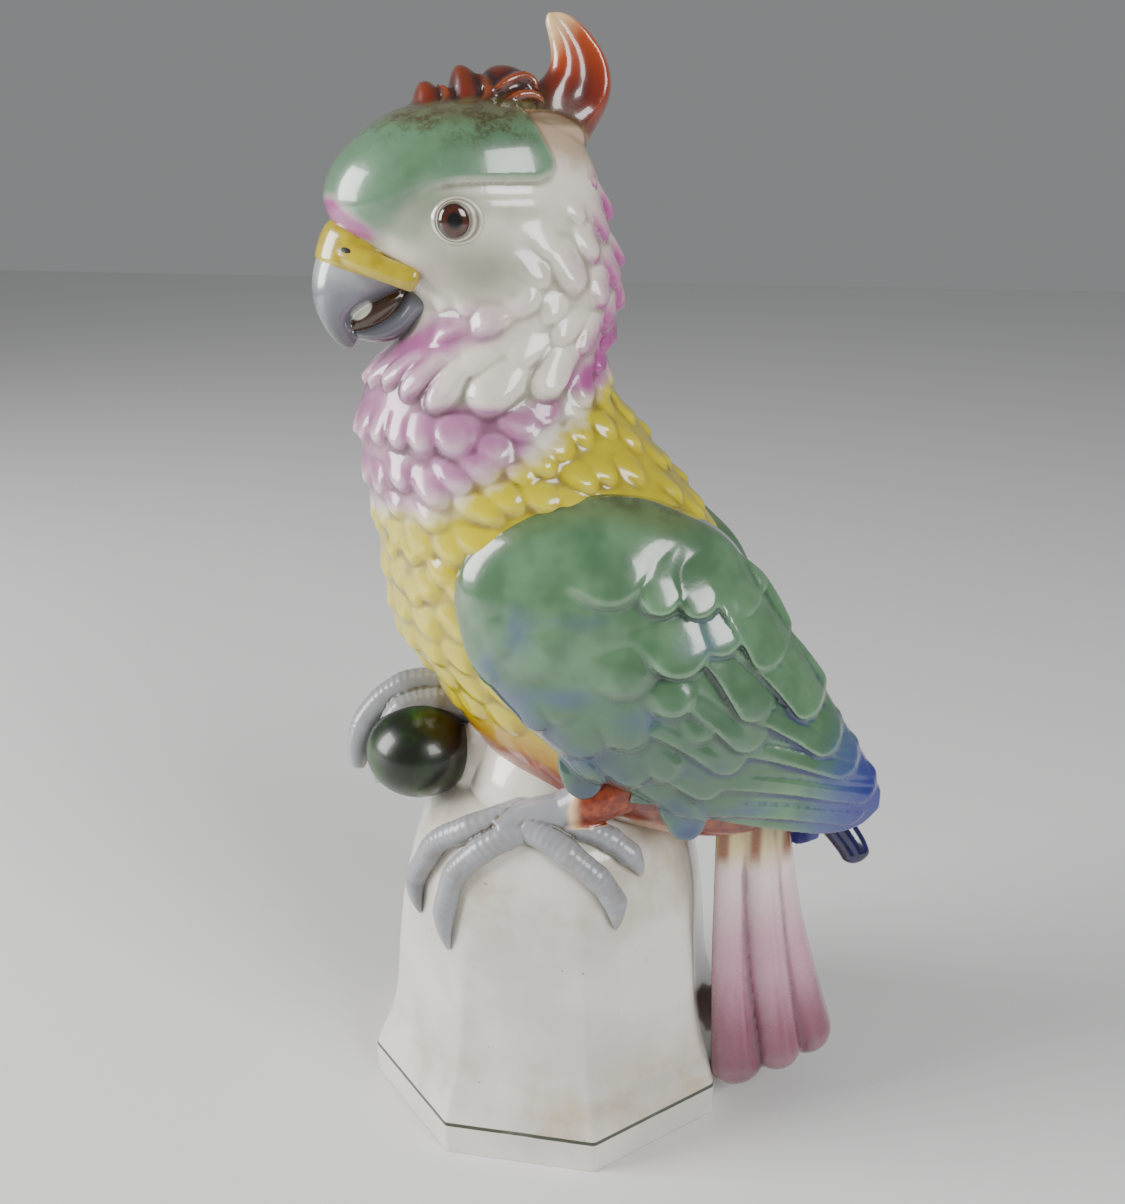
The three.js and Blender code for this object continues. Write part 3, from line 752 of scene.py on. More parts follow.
# The far wing's longest feather, which shows below the near one
def makeFarTip():
    def radius(s, turn):
        grooved = 1 - 0.12 * bell(np.cos(turn), 0, 0.25)
        return lerp(*wing["farTipRadii"], s) * roundEnd((s - 0.84) / 0.1602) * grooved
    return limb("far_wing_tip", wing["farTip"], radius, 48, 60, (0, 1, 0), 0.7)


tail = {
    # From the side to the middle: a path from root to tip, half width at each end, and thickness
    "feathers": [
        [[[67, 11, 120], [69, 14, 62], [74, 19.8, 9]], [6.4, 10.8], 6.8],
        [[[75, 8, 120], [81, 11, 66], [89, 14, 14]], [6.4, 9.4], 8],
        [[[79, 0, 120], [86, 0, 72], [100, 0, 14]], [8, 12], 10.5],
    ],
    "core": [[73, 0, 126], [76, 0, 80], [85, 0, 24]], "coreRadii": [10, 12],
    "ribs": [[-0.42, 0.16, 0.1], [0.02, 0.1, 0.09]],  # grooves along a feather: [place, depth, width]
    "rounding": 0.92,  # where a feather's end starts to round off, as a share of its length
}


def makeTail():
    def section(half):
        def radius(s, turn):
            end = roundEnd((s - tail["rounding"]) / (1.001 - tail["rounding"]))
            ribbed = 1 - sum(deep * bell(np.cos(turn), at, wide) for at, deep, wide in tail["ribs"])
            outer = np.where(np.sin(turn) > 0, lerp(1, ribbed, smoothstep(1, 0.6, s)), 1)
            return lerp(*half, s * s) * end * outer
        return radius

    pieces = []
    for path, half, thick in tail["feathers"]:
        sideways = path[0][1] > 0
        for side in (-1, 1) if sideways else (1,):
            way = [[x, y * side, z] for x, y, z in path]
            flat = (0.5, side, 0.2) if sideways else (1, 0, 0.2)
            pieces.append(limb("tailFeather", way, section(half), 96, 130, flat, thick / half[1]))
    pieces.append(limb("tailCore", tail["core"], tapered(*tail["coreRadii"]), 40, 40, (1, 0, 0.2), 0.7))
    return joined("tail", pieces)


pedestalShape = {
    # [height, corner radius, roundness from 0 (octagon) to 1 (circle)]
    "rows": [
        [0, 70.8, 0], [11.3, 70.8, 0], [11.6, 70.8, 0], [18, 68.6, 0], [26, 64.9, 0], [38, 62, 0],
        [60, 60.1, 0.04], [80, 57.6, 0.3], [93, 54.4, 0.6], [104, 50.6, 0.85], [114, 45.5, 1],
        [121, 36, 1], [124.5, 24, 1],
    ],
    # How far the edges between the eight faces are rounded, in degrees: [height, rounding]
    "softness": [[0, 0.8], [12, 0.9], [20, 1.3], [40, 2], [70, 3.2], [96, 7], [124.5, 12]],
    # The rounded top that the bird stands on: [middle, half size]
    "mounds": [[[2, -3, 121], [34, 33, 30]], [[-22, -7, 128], [17, 14, 17]]],
}


# The pedestal's skin at a height and a bearing, its corners rounded over a few degrees
def onPedestal(z, bearing, soft=False):
    _, corner, rounded = np.moveaxis(between(pedestalShape["rows"], z), -1, 0)
    eighth = math.pi / 4
    off = (bearing % eighth + eighth * 1.5) % eighth - eighth / 2
    if soft:
        s = np.radians(between(pedestalShape["softness"], z)[..., 1])
        past = np.maximum(np.abs(off) - (eighth / 2 - s), 0)
        off = np.abs(off) - past ** 2 / (2 * s)
    flat = corner * math.cos(eighth / 2) / np.cos(off)
    radius = lerp(flat, corner, rounded)
    return np.stack([radius * np.cos(bearing), radius * np.sin(bearing), z + 0 * bearing], -1)


def makePedestal():
    z = np.concatenate([[0, 0.5], np.arange(1.5, 11, 1.6), [11.1, 11.6, 12.1, 12.8],
                        np.arange(14, 120, 1.3), np.arange(120, 124.5, 0.5)])
    eighth = math.pi / 4
    off = np.tanh(np.linspace(-1.6, 1.6, 41)[:-1]) / np.tanh(1.6) * eighth / 2
    corners = np.where(off < 0, -eighth / 2 - off, eighth / 2 - off)  # points crowd at a corner
    middles = (np.arange(8)[:, None] + 0.5) * eighth
    bearing = np.sort((middles + np.sort(corners)[None]).ravel() % (2 * math.pi))
    zz, bb = np.meshgrid(z, bearing, indexing="ij")
    base = skin("pedestalCore", onPedestal(zz, bb, True))
    mounds = [ball("mound", at, size, around=96) for at, size in pedestalShape["mounds"]]
    return joined("pedestal", [base, *mounds])


feet = {
    "shin": [[34, -26, 138], [22, -33, 132], [10, -35, 125]], "shinRadii": [12, 7],
    "palm": [[-94, 121, 2], [-103, 117, 1.5]], "palmRadii": [7.4, 6],  # bearing, height, rise
    # Toes as bearings and heights on the pedestal, ankle first, and the claw's point
    "toes": [
        [[[-80, 124], [-100, 122], [-119, 116.5], [-132, 109.5], [-138, 100], [-143, 91]], [-140.5, 78]],
        [[[-84, 121], [-103, 116], [-114, 108.5], [-119.5, 101], [-121.5, 88]], [-119.6, 74]],
        [[[-92, 119.5], [-80, 117], [-70, 112], [-61.5, 105], [-56.5, 97]], [-56, 87]],
        [[[-84, 121], [-68, 120], [-55, 116.5], [-47.5, 111]], [-42.5, 102.5]],
    ],
    "radius": 4.6, "toeTaper": [1.08, 0.86], "rise": 2.6,  # a toe's middle is so far off the pedestal
    "joints": [0.4, 0.72, 0.95], "swell": 0.08,  # where a toe swells, and how far
    "bar": 2.3, "band": 0.07, "barDepth": 0.045,  # scales along its back: pitch, height, grooves
    "knuckle": [4.3, 4.3, 4.3], "clawRadius": 4,
    "thighs": [[[38, -21, 141], [25, 17, 16]], [[14, 16, 147], [26, 17, 15]]],
    "raised": [
        [[-24, 5, 146], [-38, 2, 153], [-51, -1, 153.5], [-61, -4, 149], [-67.5, -7, 142],
         [-71.5, -10, 133], [-72, -12, 123]],
        [[-28, 12, 147], [-44, 11, 149], [-57, 9, 144], [-64, 5, 135], [-67, 0, 124], [-66, -6, 114]],
        [[-26, 0, 144], [-37, -4, 147.5], [-47, -8, 148.5], [-55, -12, 146], [-61, -16, 138]],
    ],
    "raisedSize": 1.25,
    "leg": [[-4, 6, 150], [-20, 6, 154], [-34, 5, 157]], "legRadii": [11, 7.5],
    "nut": [-47, -15, 134], "nutSize": [19.3, 18.5, 16.9],
}


# A place on the pedestal at a bearing and a height, lifted off it
def lifted(bearing, z, rise):
    spot = onPedestal(np.array(float(z)), np.array(math.radians(bearing)))
    out = np.array([spot[0], spot[1], 26.0])
    return spot + out / np.linalg.norm(out) * rise


surfaces = {}  # bare shapes that the painting asks for


# A toe's section: a scaly band along its back, three swollen joints
def toeSection(path, taper):
    length = float(np.linalg.norm(np.diff(np.asarray(path, float), axis=0), axis=1).sum())

    def radius(s, turn):
        joints = sum(bell(s, at, 0.06) for at in feet["joints"])
        band = smoothstep(0.45, 0.8, np.sin(turn))
        bars = 0.5 + 0.5 * np.cos(2 * math.pi * s * length / feet["bar"])
        scales = band * (feet["band"] - feet["barDepth"] * bars * smoothstep(0.03, 0.12, s))
        return feet["radius"] * (1 + feet["swell"] * joints + scales) * taper(s)
    return radius


def clawSection(s, turn):
    return feet["clawRadius"] * (1 - s) ** 0.75 + 0.35


def makeStandingFoot():
    shin = limb("shin", feet["shin"], tapered(*feet["shinRadii"]), 48, 40)
    surfaces["shin"] = surfaceOf(shin)
    palm = [feet["shin"][-1], *[lifted(*spot) for spot in feet["palm"]]]
    pieces = [shin, limb("palm", palm, tapered(*feet["palmRadii"]), 40, 30)]
    for way, claw in feet["toes"]:
        path = [lifted(*spot, feet["rise"]) for spot in way]
        out = np.array([path[2][0], path[2][1], 40.0])
        out /= np.linalg.norm(out)
        section = toeSection(path, lambda s: lerp(*feet["toeTaper"], s))
        pieces.append(limb("toe", path, section, 56, 150, out, 0.95))
        pieces.append(ball("knuckle", path[-1], feet["knuckle"]))
        tip = lifted(*claw, 0.6)
        hook = [path[-1], (path[-1] + tip) / 2 + out * 1.4, tip]
        pieces.append(limb("claw", hook, clawSection, 32, 40, out, 1))
    return joined("standing_foot", pieces)


def makeRaisedFoot():
    pieces = [limb("leg", feet["leg"], tapered(*feet["legRadii"]), 48, 40)]
    for path in feet["raised"]:
        section = toeSection(path, lambda s: feet["raisedSize"] * (1.0 - 0.6 * s ** 6))
        pieces.append(limb("toe", path, section, 56, 130, (-0.5, 0, 1)))
    return joined("raised_foot", pieces)


beak = {
    "upper": [
        [-57, 322, -38, 301, 12.5],
        [-71.5, 318.5, -44.5, 299.5, 13],
        [-76.3, 309, -52.5, 297, 12],
        [-78.5, 300, -59.8, 294, 10],
        [-78, 293, -65, 291, 7.8],
        [-76, 287.6, -67, 288, 5.4],
        [-73.4, 283.2, -66, 285, 3.8],
        [-70.6, 280.3, -65.2, 281.9, 2.4],
        [-67.6, 279, -66, 279.8, 0.9],
    ],
    "lower": [
        [-42, 299.5, -38, 288, 10.5],
        [-48.2, 297.6, -44.5, 288, 10],
        [-52.4, 292.2, -49.5, 283.4, 9],
        [-57, 288.6, -55.5, 281, 7.8],
        [-62, 286.4, -61, 281.2, 6],
        [-65.8, 285.6, -65.4, 282.4, 3.2],
    ],
    "cere": [
        [-57, 323.2, -38, 301.5, 13.4],
        [-71.8, 319.3, -44.2, 300.5, 13.9],
        [-76.9, 309.4, -46.8, 298.4, 13],
        [-75.5, 308.8, -47.5, 298.6, 11],
    ],
    "nostril": [-67.9, -9, 310.9],
    # The cere's rim on each side: a path, its radius, and where it starts to round off
    "cereSide": [[-71, 6, 312.6], [-65, 11.8, 309], [-57.5, 15.2, 305.6], [-50.5, 17.2, 303],
                 [-46.2, 18, 301.6]],
    "cereSideRadius": 3.9, "cereSideRounding": 0.88,
    "lens": [-63.2, 291.2], "lensSize": [3.7, 1.7], "lensTilt": 40,
    "mouth": [-56.3, 0, 292.2], "mouthSize": [12.8, 5.2, 4.9], "mouthTilt": -33,
}
eye = {
    "x": -36.2, "z": 320.2,
    # From the middle outwards: [radius, height over the face]; two thin rings surround the ball
    "rings": [[0, 2.1], [2.2, 1.95], [4.0, 1.4], [4.8, 0.7], [5.2, 0.4], [5.7, 0.95], [6.2, 0.6],
              [6.8, 0.95], [7.4, 0.4], [8.4, -1.5]],
    "shift": 1.2,  # how far back the outer ring's middle lies from the pupil
}
turnHead = (Matrix.Translation((body["neckX"] * mm, 0, 0))
            @ Matrix.Rotation(math.radians(body["headTurn"]), 4, "Z")
            @ Matrix.Translation((-body["neckX"] * mm, 0, 0)))


def makeBeak():
    def section(s, turn):
        begin = beak["cereSideRounding"]
        return beak["cereSideRadius"] * roundEnd((s - begin) / (1.0002 - begin))

    mouth = ball("mouth", beak["mouth"], beak["mouthSize"], beak["mouthTilt"])
    mouth.data.transform(turnHead)
    sides = []
    for side in (-1, 1):
        path = [onHead(x, side * y, z) for x, y, z in beak["cereSide"]]
        flat = onHead(body["neckX"], side * 1.0, 0) - onHead(body["neckX"], 0.0, 0)
        sides.append(limb("cereSide", path, section, 40, 50, flat, 0.62))
    halves = [headLoft("upper", beak["upper"], 80, 80), headLoft("lower", beak["lower"], 60, 64)]
    cere = joined("cere", [headLoft("cere", beak["cere"], 40, 80), *sides])
    for part in (cere, mouth):
        surfaces[part.name] = surfaceOf(part)
    return fused(joined("beak", [*halves, cere, mouth]))


# How far to the side the bare face lies, in the straight head
def faceSide(x, z):
    _, front, back, half, _ = np.moveaxis(between(body["rows"], z), -1, 0)
    reach = (x - (front + back) / 2) / ((back - front) / 2)
    return half * np.sqrt(np.clip(1 - reach ** 2, 0.05, 1))


def makeEyes():
    reach = eye["rings"][-1][0]
    radius = np.concatenate([np.arange(0.05, reach, 0.13), [reach, reach - 0.3]])
    height = between(eye["rings"], np.minimum(radius, reach))[:, 1]
    height[-1] = -4  # the last ring lies under the skin
    rr, turn = np.meshgrid(radius, ringOf(96), indexing="ij")
    outer = smoothstep(4.8, 7.4, rr)
    x = eye["x"] + eye["shift"] * outer + rr * lerp(0.95, 1.05, outer) * np.cos(turn)
    z = eye["z"] + rr * lerp(1.05, 0.95, outer) * np.sin(turn)
    made = []
    for side in (-1, 1):
        made.append(skin("eye", onHead(x, side * (faceSide(x, z) + height[:, None]), z)))
        mark(made[-1], "radial", np.concatenate([rr.ravel(), [0, reach]]))
    return joined("eyes", made)


# Making the pieces
tallPlume = makeTallPlume()
smallPlumes = makeSmallPlumes()
curls = makeCurls()
thighs = joined("thighs", [ball("thigh", at, size) for at, size in feet["thighs"]])
for piece in (tallPlume, smallPlumes, curls, thighs):
    surfaces[piece.name] = surfaceOf(piece)
bird = fused(joined("bird", [makeBodySkin(), tallPlume, smallPlumes, curls, thighs]))
nearWing = fused(makeWing("near_wing"))
tailPiece = fused(makeTail())
standingFoot = fused(makeStandingFoot())
raisedFoot = fused(makeRaisedFoot())
nut = ball("nut", feet["nut"], feet["nutSize"], around=96)
beakPiece = makeBeak()
eyes = makeEyes()
farTip = makeFarTip()
pedestal = makePedestal()
print("pieces made")


# Painting: each value is stored on the piece's points, and the glaze reads it
tints = {
    # Airbrushed dabs on the bird: [bearing from the back, height, half spreads of both, strength]
    "rose": [
        [0, 328, 34, 13, 1.0], [0, 302, 42, 17, 1.05], [4, 279, 44, 11, 1.05], [30, 270, 16, 6, 0.8],
        [34, 318, 12, 13, 0.34], [38, 298, 12, 14, 0.32], [36, 281, 12, 9, 0.36],
        [60, 300, 14, 16, 0.2], [108, 286, 16, 6, 0.25],
    ],
    "blush": [
        [140, 285, 13, 5, 0.35], [160, 281, 30, 5, 0.5], [120, 282, 10, 5, 0.3],
        [176, 319.5, 30, 6.5, 1.1], [150, 316.5, 10, 4, 0.5], [164, 325, 16, 5, 0.4],
    ],
    # A greyer zone beside the beak and below the eye: painted shade
    "faceShade": [[112, 305, 24, 11, 0.8], [140, 302, 14, 8, 0.5], [84, 312, 16, 7, 0.35]],
    "stain": [
        [30, 345, 50, 6, 1.0], [66, 348.5, 34, 5, 1.0], [12, 338, 30, 7, 0.6], [44, 336.5, 18, 5, 0.35],
    ],
    "lilac": [
        [150, 254, 46, 17, 1.2], [136, 286, 24, 9, 0.7], [60, 302, 12, 16, 0.35],
        [100, 294, 20, 5, 0.3], [104, 250, 24, 9, 1.15], [80, 255, 14, 6, 0.95],
        [124, 268, 14, 8, 0.8], [160, 272, 26, 9, 0.9], [62, 260.5, 10, 3.5, 0.5],
        [46, 277, 14, 5, 0.3], [150, 232, 40, 6, 0.45], [106, 286, 20, 6, 0.3], [84, 261, 16, 4, 0.8],
        [118, 238, 14, 7, 0.5], [55, 264, 10, 4, 0.7],
    ],
    "moss": [
        [128, 321, 18, 9, 0.95], [104, 326, 20, 5, 0.7], [98, 308, 26, 9, 0.45], [70, 322, 20, 6, 0.4],
        [118, 300, 20, 8, 0.3],
    ],
}
# Where the yellow begins under the neck: [bearing from the back, height]
yellowFrom = [
    [0, 270], [20, 268], [48, 259], [67, 251], [88, 243], [111, 232.5], [125, 229.5], [150, 227],
    [180, 227],
]
wingTints = {
    # Dabs on the wing, seen from the side: [x, z, half spreads of both, strength]
    "blue": [
        [-1, 198, 7, 12, 0.55], [-12, 184, 6, 8, 0.6], [-4, 170, 9, 8, 0.9], [5, 160, 9, 6, 1.1],
        [14, 176, 12, 5, 0.7], [22, 153, 10, 5, 1.0], [5, 149, 9, 6, 0.8], [20, 137, 7, 4.5, 1.6],
        [55, 123.5, 8, 5, 1.6], [38, 168, 10, 7, 0.6], [20, 202, 12, 4, 0.5], [57, 196, 12, 8, 0.5],
        [72, 132, 16, 5, 0.6], [60, 150, 14, 6, 0.5], [32, 144, 12, 5, 0.6], [-21, 205, 3, 10, 0.4],
        [48, 134, 9, 4, 0.9],
    ],
}


def dabs(rows, across, up):
    return sum(strong * np.exp(-((across - a) / wide) ** 2 - ((up - u) / tall) ** 2)
               for a, u, wide, tall, strong in rows)


# The reach of a shape's colour past it, in millimetres
reaches = {"tall": 2.4, "smallPlumes": 2.4, "curls": 1.6, "thighs": 2.5, "shin": 2.0,
           "cere": 1.2, "mouth": 1.2}


def nearShape(points, name, some=None):
    return nearness(points, surfaces[name], reaches[name], some)


def paintBird(piece):
    points = pointsOf(piece)
    bearing = bearingOf(points)
    back = fromBack(bearing)
    z = points[:, 2]
    head = inHead(points)
    _, tip = plumageRelief(bearing, z)
    mark(piece, "hollow", hollowOf(piece, 25))
    mark(piece, "cap", np.where(z > 352, 12, insideCap(bearing, z)))
    mark(piece, "brow", frontness(bearing))
    high = z > 332
    tall = nearShape(points, "tall", high)
    small = nearShape(points, "smallPlumes", high)
    mark(piece, "plume", smoothstep(0.2, 0.8, np.maximum(tall, small)))
    mark(piece, "curl", smoothstep(0.3, 0.9, nearShape(points, "curls", high)))
    # How far up its plume a point is, by the nearest place of the tall one's middle line
    outerX, outerZ, innerX, innerZ, _ = finer(crest["tall"], 60).T
    share = np.zeros(len(points))
    share[high] = np.hypot(head[high, 0][:, None] - (outerX + innerX) / 2,
                           z[high][:, None] - (outerZ + innerZ) / 2).argmin(1) / (len(outerX) - 1)
    rise = np.clip((z - 349) / 14 - np.clip(np.abs(head[:, 1]) - 8, 0, 9) * 0.05, 0, 1)
    mark(piece, "share", np.where(tall > small, share, rise * 0.9))
    mark(piece, "tallOne", np.where(tall > small, 1, 0))
    stains = {name: dabs(rows, back, z) for name, rows in tints.items()}
    stains["rose"] = stains["rose"] * (0.4 + 0.8 * tip) + stains.pop("blush")
    for name, stain in stains.items():
        mark(piece, name, stain)
    mark(piece, "yellow", between(yellowFrom, back)[:, 1] - z)
    mark(piece, "thigh", smoothstep(0.1, 0.8, nearShape(points, "thighs", z < 170)))
    mark(piece, "belly", smoothstep(70, 110, back))


def paintWing(piece):
    x, _, z = pointsOf(piece).T
    high = between(wing["rows"], x)[:, 3]
    mark(piece, "hollow", hollowOf(piece, 22))
    mark(piece, "rim", np.minimum(high - z + np.maximum(x - 44, 0) * 0.6, (x + 24) * 1.5))
    mark(piece, "blue", dabs(wingTints["blue"], x, z))
    mark(piece, "tipward", x + (150 - z) * 0.35)


def paintFeet():
    for piece in (standingFoot, raisedFoot):
        mark(piece, "hollow", hollowOf(piece, 14))
    points = pointsOf(standingFoot)
    upper = smoothstep(0.1, 0.7, nearShape(points, "shin")) * smoothstep(9, 24, points[:, 0])
    mark(standingFoot, "thigh", upper)
    mark(raisedFoot, "thigh", smoothstep(-26, -16, pointsOf(raisedFoot)[:, 0]))


def paintBeak(piece):
    points = pointsOf(piece)
    for name in ("cere", "mouth"):
        mark(piece, name, nearShape(points, name))
    mark(piece, "hollow", hollowOf(piece, 14))
    x, _, z = inHead(points).T
    # An opening seen aslant, and the pale lens between the two halves: 1 on their edge
    dx, dz = x - beak["nostril"][0], z - beak["nostril"][2]
    mark(piece, "nostril", np.hypot(dx / 1.5 + dz / 3, dz / 0.9))
    tilt = math.radians(beak["lensTilt"])
    dx, dz = x - beak["lens"][0], z - beak["lens"][1]
    mark(piece, "lens", np.hypot((dx * math.cos(tilt) + dz * math.sin(tilt)) / beak["lensSize"][0],
                                 (dz * math.cos(tilt) - dx * math.sin(tilt)) / beak["lensSize"][1]))


paintBird(bird)
paintWing(nearWing)
farWing = nearWing.copy()
farWing.data = nearWing.data.copy()
farWing.name = "far_wing"
farWing.data.name = "far_wing"
bpy.context.scene.collection.objects.link(farWing)
placeFarWing(farWing)
mark(tailPiece, "hollow", hollowOf(tailPiece, 30))
paintFeet()
paintBeak(beakPiece)
print("painted")


# A socket that can be reckoned with: each operator adds its Math node
class Value:
    def __init__(self, glaze, socket):
        self.glaze = glaze
        self.socket = socket

    def __add__(self, other):
        return self.glaze.math("ADD", self, other)

    def __radd__(self, other):
        return self.glaze.math("ADD", other, self)

    def __sub__(self, other):
        return self.glaze.math("SUBTRACT", self, other)

    def __rsub__(self, other):
        return self.glaze.math("SUBTRACT", other, self)

    def __mul__(self, other):
        return self.glaze.math("MULTIPLY", self, other)

    def __rmul__(self, other):
        return self.glaze.math("MULTIPLY", other, self)

    def __neg__(self):
        return self.glaze.math("MULTIPLY", self, -1)

    # 0 below `low`, 1 above `high`, smooth between them; low above high turns it round
    def ramp(self, low, high):
        first, last, start, end = (low, high, 0, 1) if low < high else (high, low, 1, 0)
        made = self.glaze.node("ShaderNodeMapRange", {"interpolation_type": "SMOOTHSTEP"},
                               {0: self, 1: first, 2: last, 3: start, 4: end})
        return Value(self.glaze, made.outputs[0])


gloss = {"roughness": 0.1, "ior": 1.5, "relief": mm}  # of the clear coat, and the height of its waves


# A glaze: a Principled shader whose colour is built up in coats
class Glaze:
    def __init__(self, name):
        self.material = bpy.data.materials.new(name)
        self.material.use_nodes = True
        self.tree = self.material.node_tree
        self.shader = self.tree.nodes["Principled BSDF"]
        self.place = self.node("ShaderNodeTexCoord").outputs["Object"]

    # Links a value or a socket to a node's input, or sets the input to a number
    def feed(self, made, key, value):
        if isinstance(value, Value):
            value = value.socket
        if isinstance(value, bpy.types.NodeSocket):
            self.tree.links.new(value, made.inputs[key])
        else:
            made.inputs[key].default_value = value

    # Any node: its type, its settings first, then its sockets' values or links
    def node(self, kind, settings=None, inputs=None):
        made = self.tree.nodes.new(kind)
        for key, value in (settings or {}).items():
            setattr(made, key, value)
        for key, value in (inputs or {}).items():
            self.feed(made, key, value)
        return made

    def math(self, operation, *inputs):
        made = self.node("ShaderNodeMath", {"operation": operation}, dict(enumerate(inputs)))
        return Value(self, made.outputs[0])

    # Attributes of the piece's points
    def stored(self, *names):
        read = [Value(self, self.node("ShaderNodeAttribute", {"attribute_name": name}).outputs["Fac"])
                for name in names]
        return read if len(read) > 1 else read[0]

    # Noise with grains of about `size` millimetres, from 0 to 1
    def noise(self, size, detail, rough=0.55, stretch=None):
        place = self.place
        if stretch:
            place = self.node("ShaderNodeMapping", None, {"Vector": place, "Scale": stretch}).outputs[0]
        made = self.node("ShaderNodeTexNoise", None,
                         {"Vector": place, "Scale": 1000 / size, "Detail": detail, "Roughness": rough})
        return Value(self, made.outputs["Fac"])

    # Millimetres along an axis of the part
    def axis(self, name):
        made = self.node("ShaderNodeSeparateXYZ", None, {0: self.place})
        return Value(self, made.outputs[name]) * 1000

    # One colour over another where the mask is 1
    def over(self, below, above, mask):
        mixed = self.node("ShaderNodeMix", {"data_type": "RGBA"}, {0: mask, 6: below, 7: above})
        return mixed.outputs[2]

    def finish(self, colour, rough, waves, deep, coat=1.0):
        raised = self.node("ShaderNodeBump", None,
                           {"Strength": deep, "Distance": gloss["relief"], "Height": waves})
        for key, value in (("Base Color", colour), ("Roughness", rough), ("Coat Weight", coat),
                           ("Coat Roughness", gloss["roughness"]), ("Coat IOR", gloss["ior"]),
                           ("Normal", raised.outputs[0])):
            self.feed(self.shader, key, value)
        return self.material


# A colour as the eye reads it, 0 to 255, made linear
def tint(*levels):
    def linear(level):
        return level / 255 / 12.92 if level < 10.3 else ((level / 255 + 0.055) / 1.055) ** 2.4
    return (*map(linear, levels), 1)


birdColours = {
    "white": tint(228, 221, 205), "shade": tint(112, 106, 84), "lilac": tint(168, 106, 146),
    "petalHighlight": tint(228, 206, 212), "plumShade": tint(88, 50, 66), "rose": tint(168, 80, 142),
    "deepRoseAndShade": tint(112, 34, 86), "yellow": tint(196, 180, 0), "pale": tint(218, 204, 14),
    "ochreShade": tint(108, 84, 0), "sage": tint(86, 124, 92), "sageShadeAndMottle": tint(54, 82, 54),
    "sagePale": tint(122, 158, 126), "grime": tint(60, 48, 16), "moss": tint(104, 128, 96),
    "brick": tint(112, 34, 6), "brickPale": tint(154, 66, 22), "cream": tint(236, 196, 142),
    "rust": tint(122, 30, 0), "darkRust": tint(42, 8, 3), "amber": tint(168, 66, 14),
    "root": tint(92, 76, 34), "stain": tint(158, 112, 64), "faceShade": tint(144, 132, 114),
}


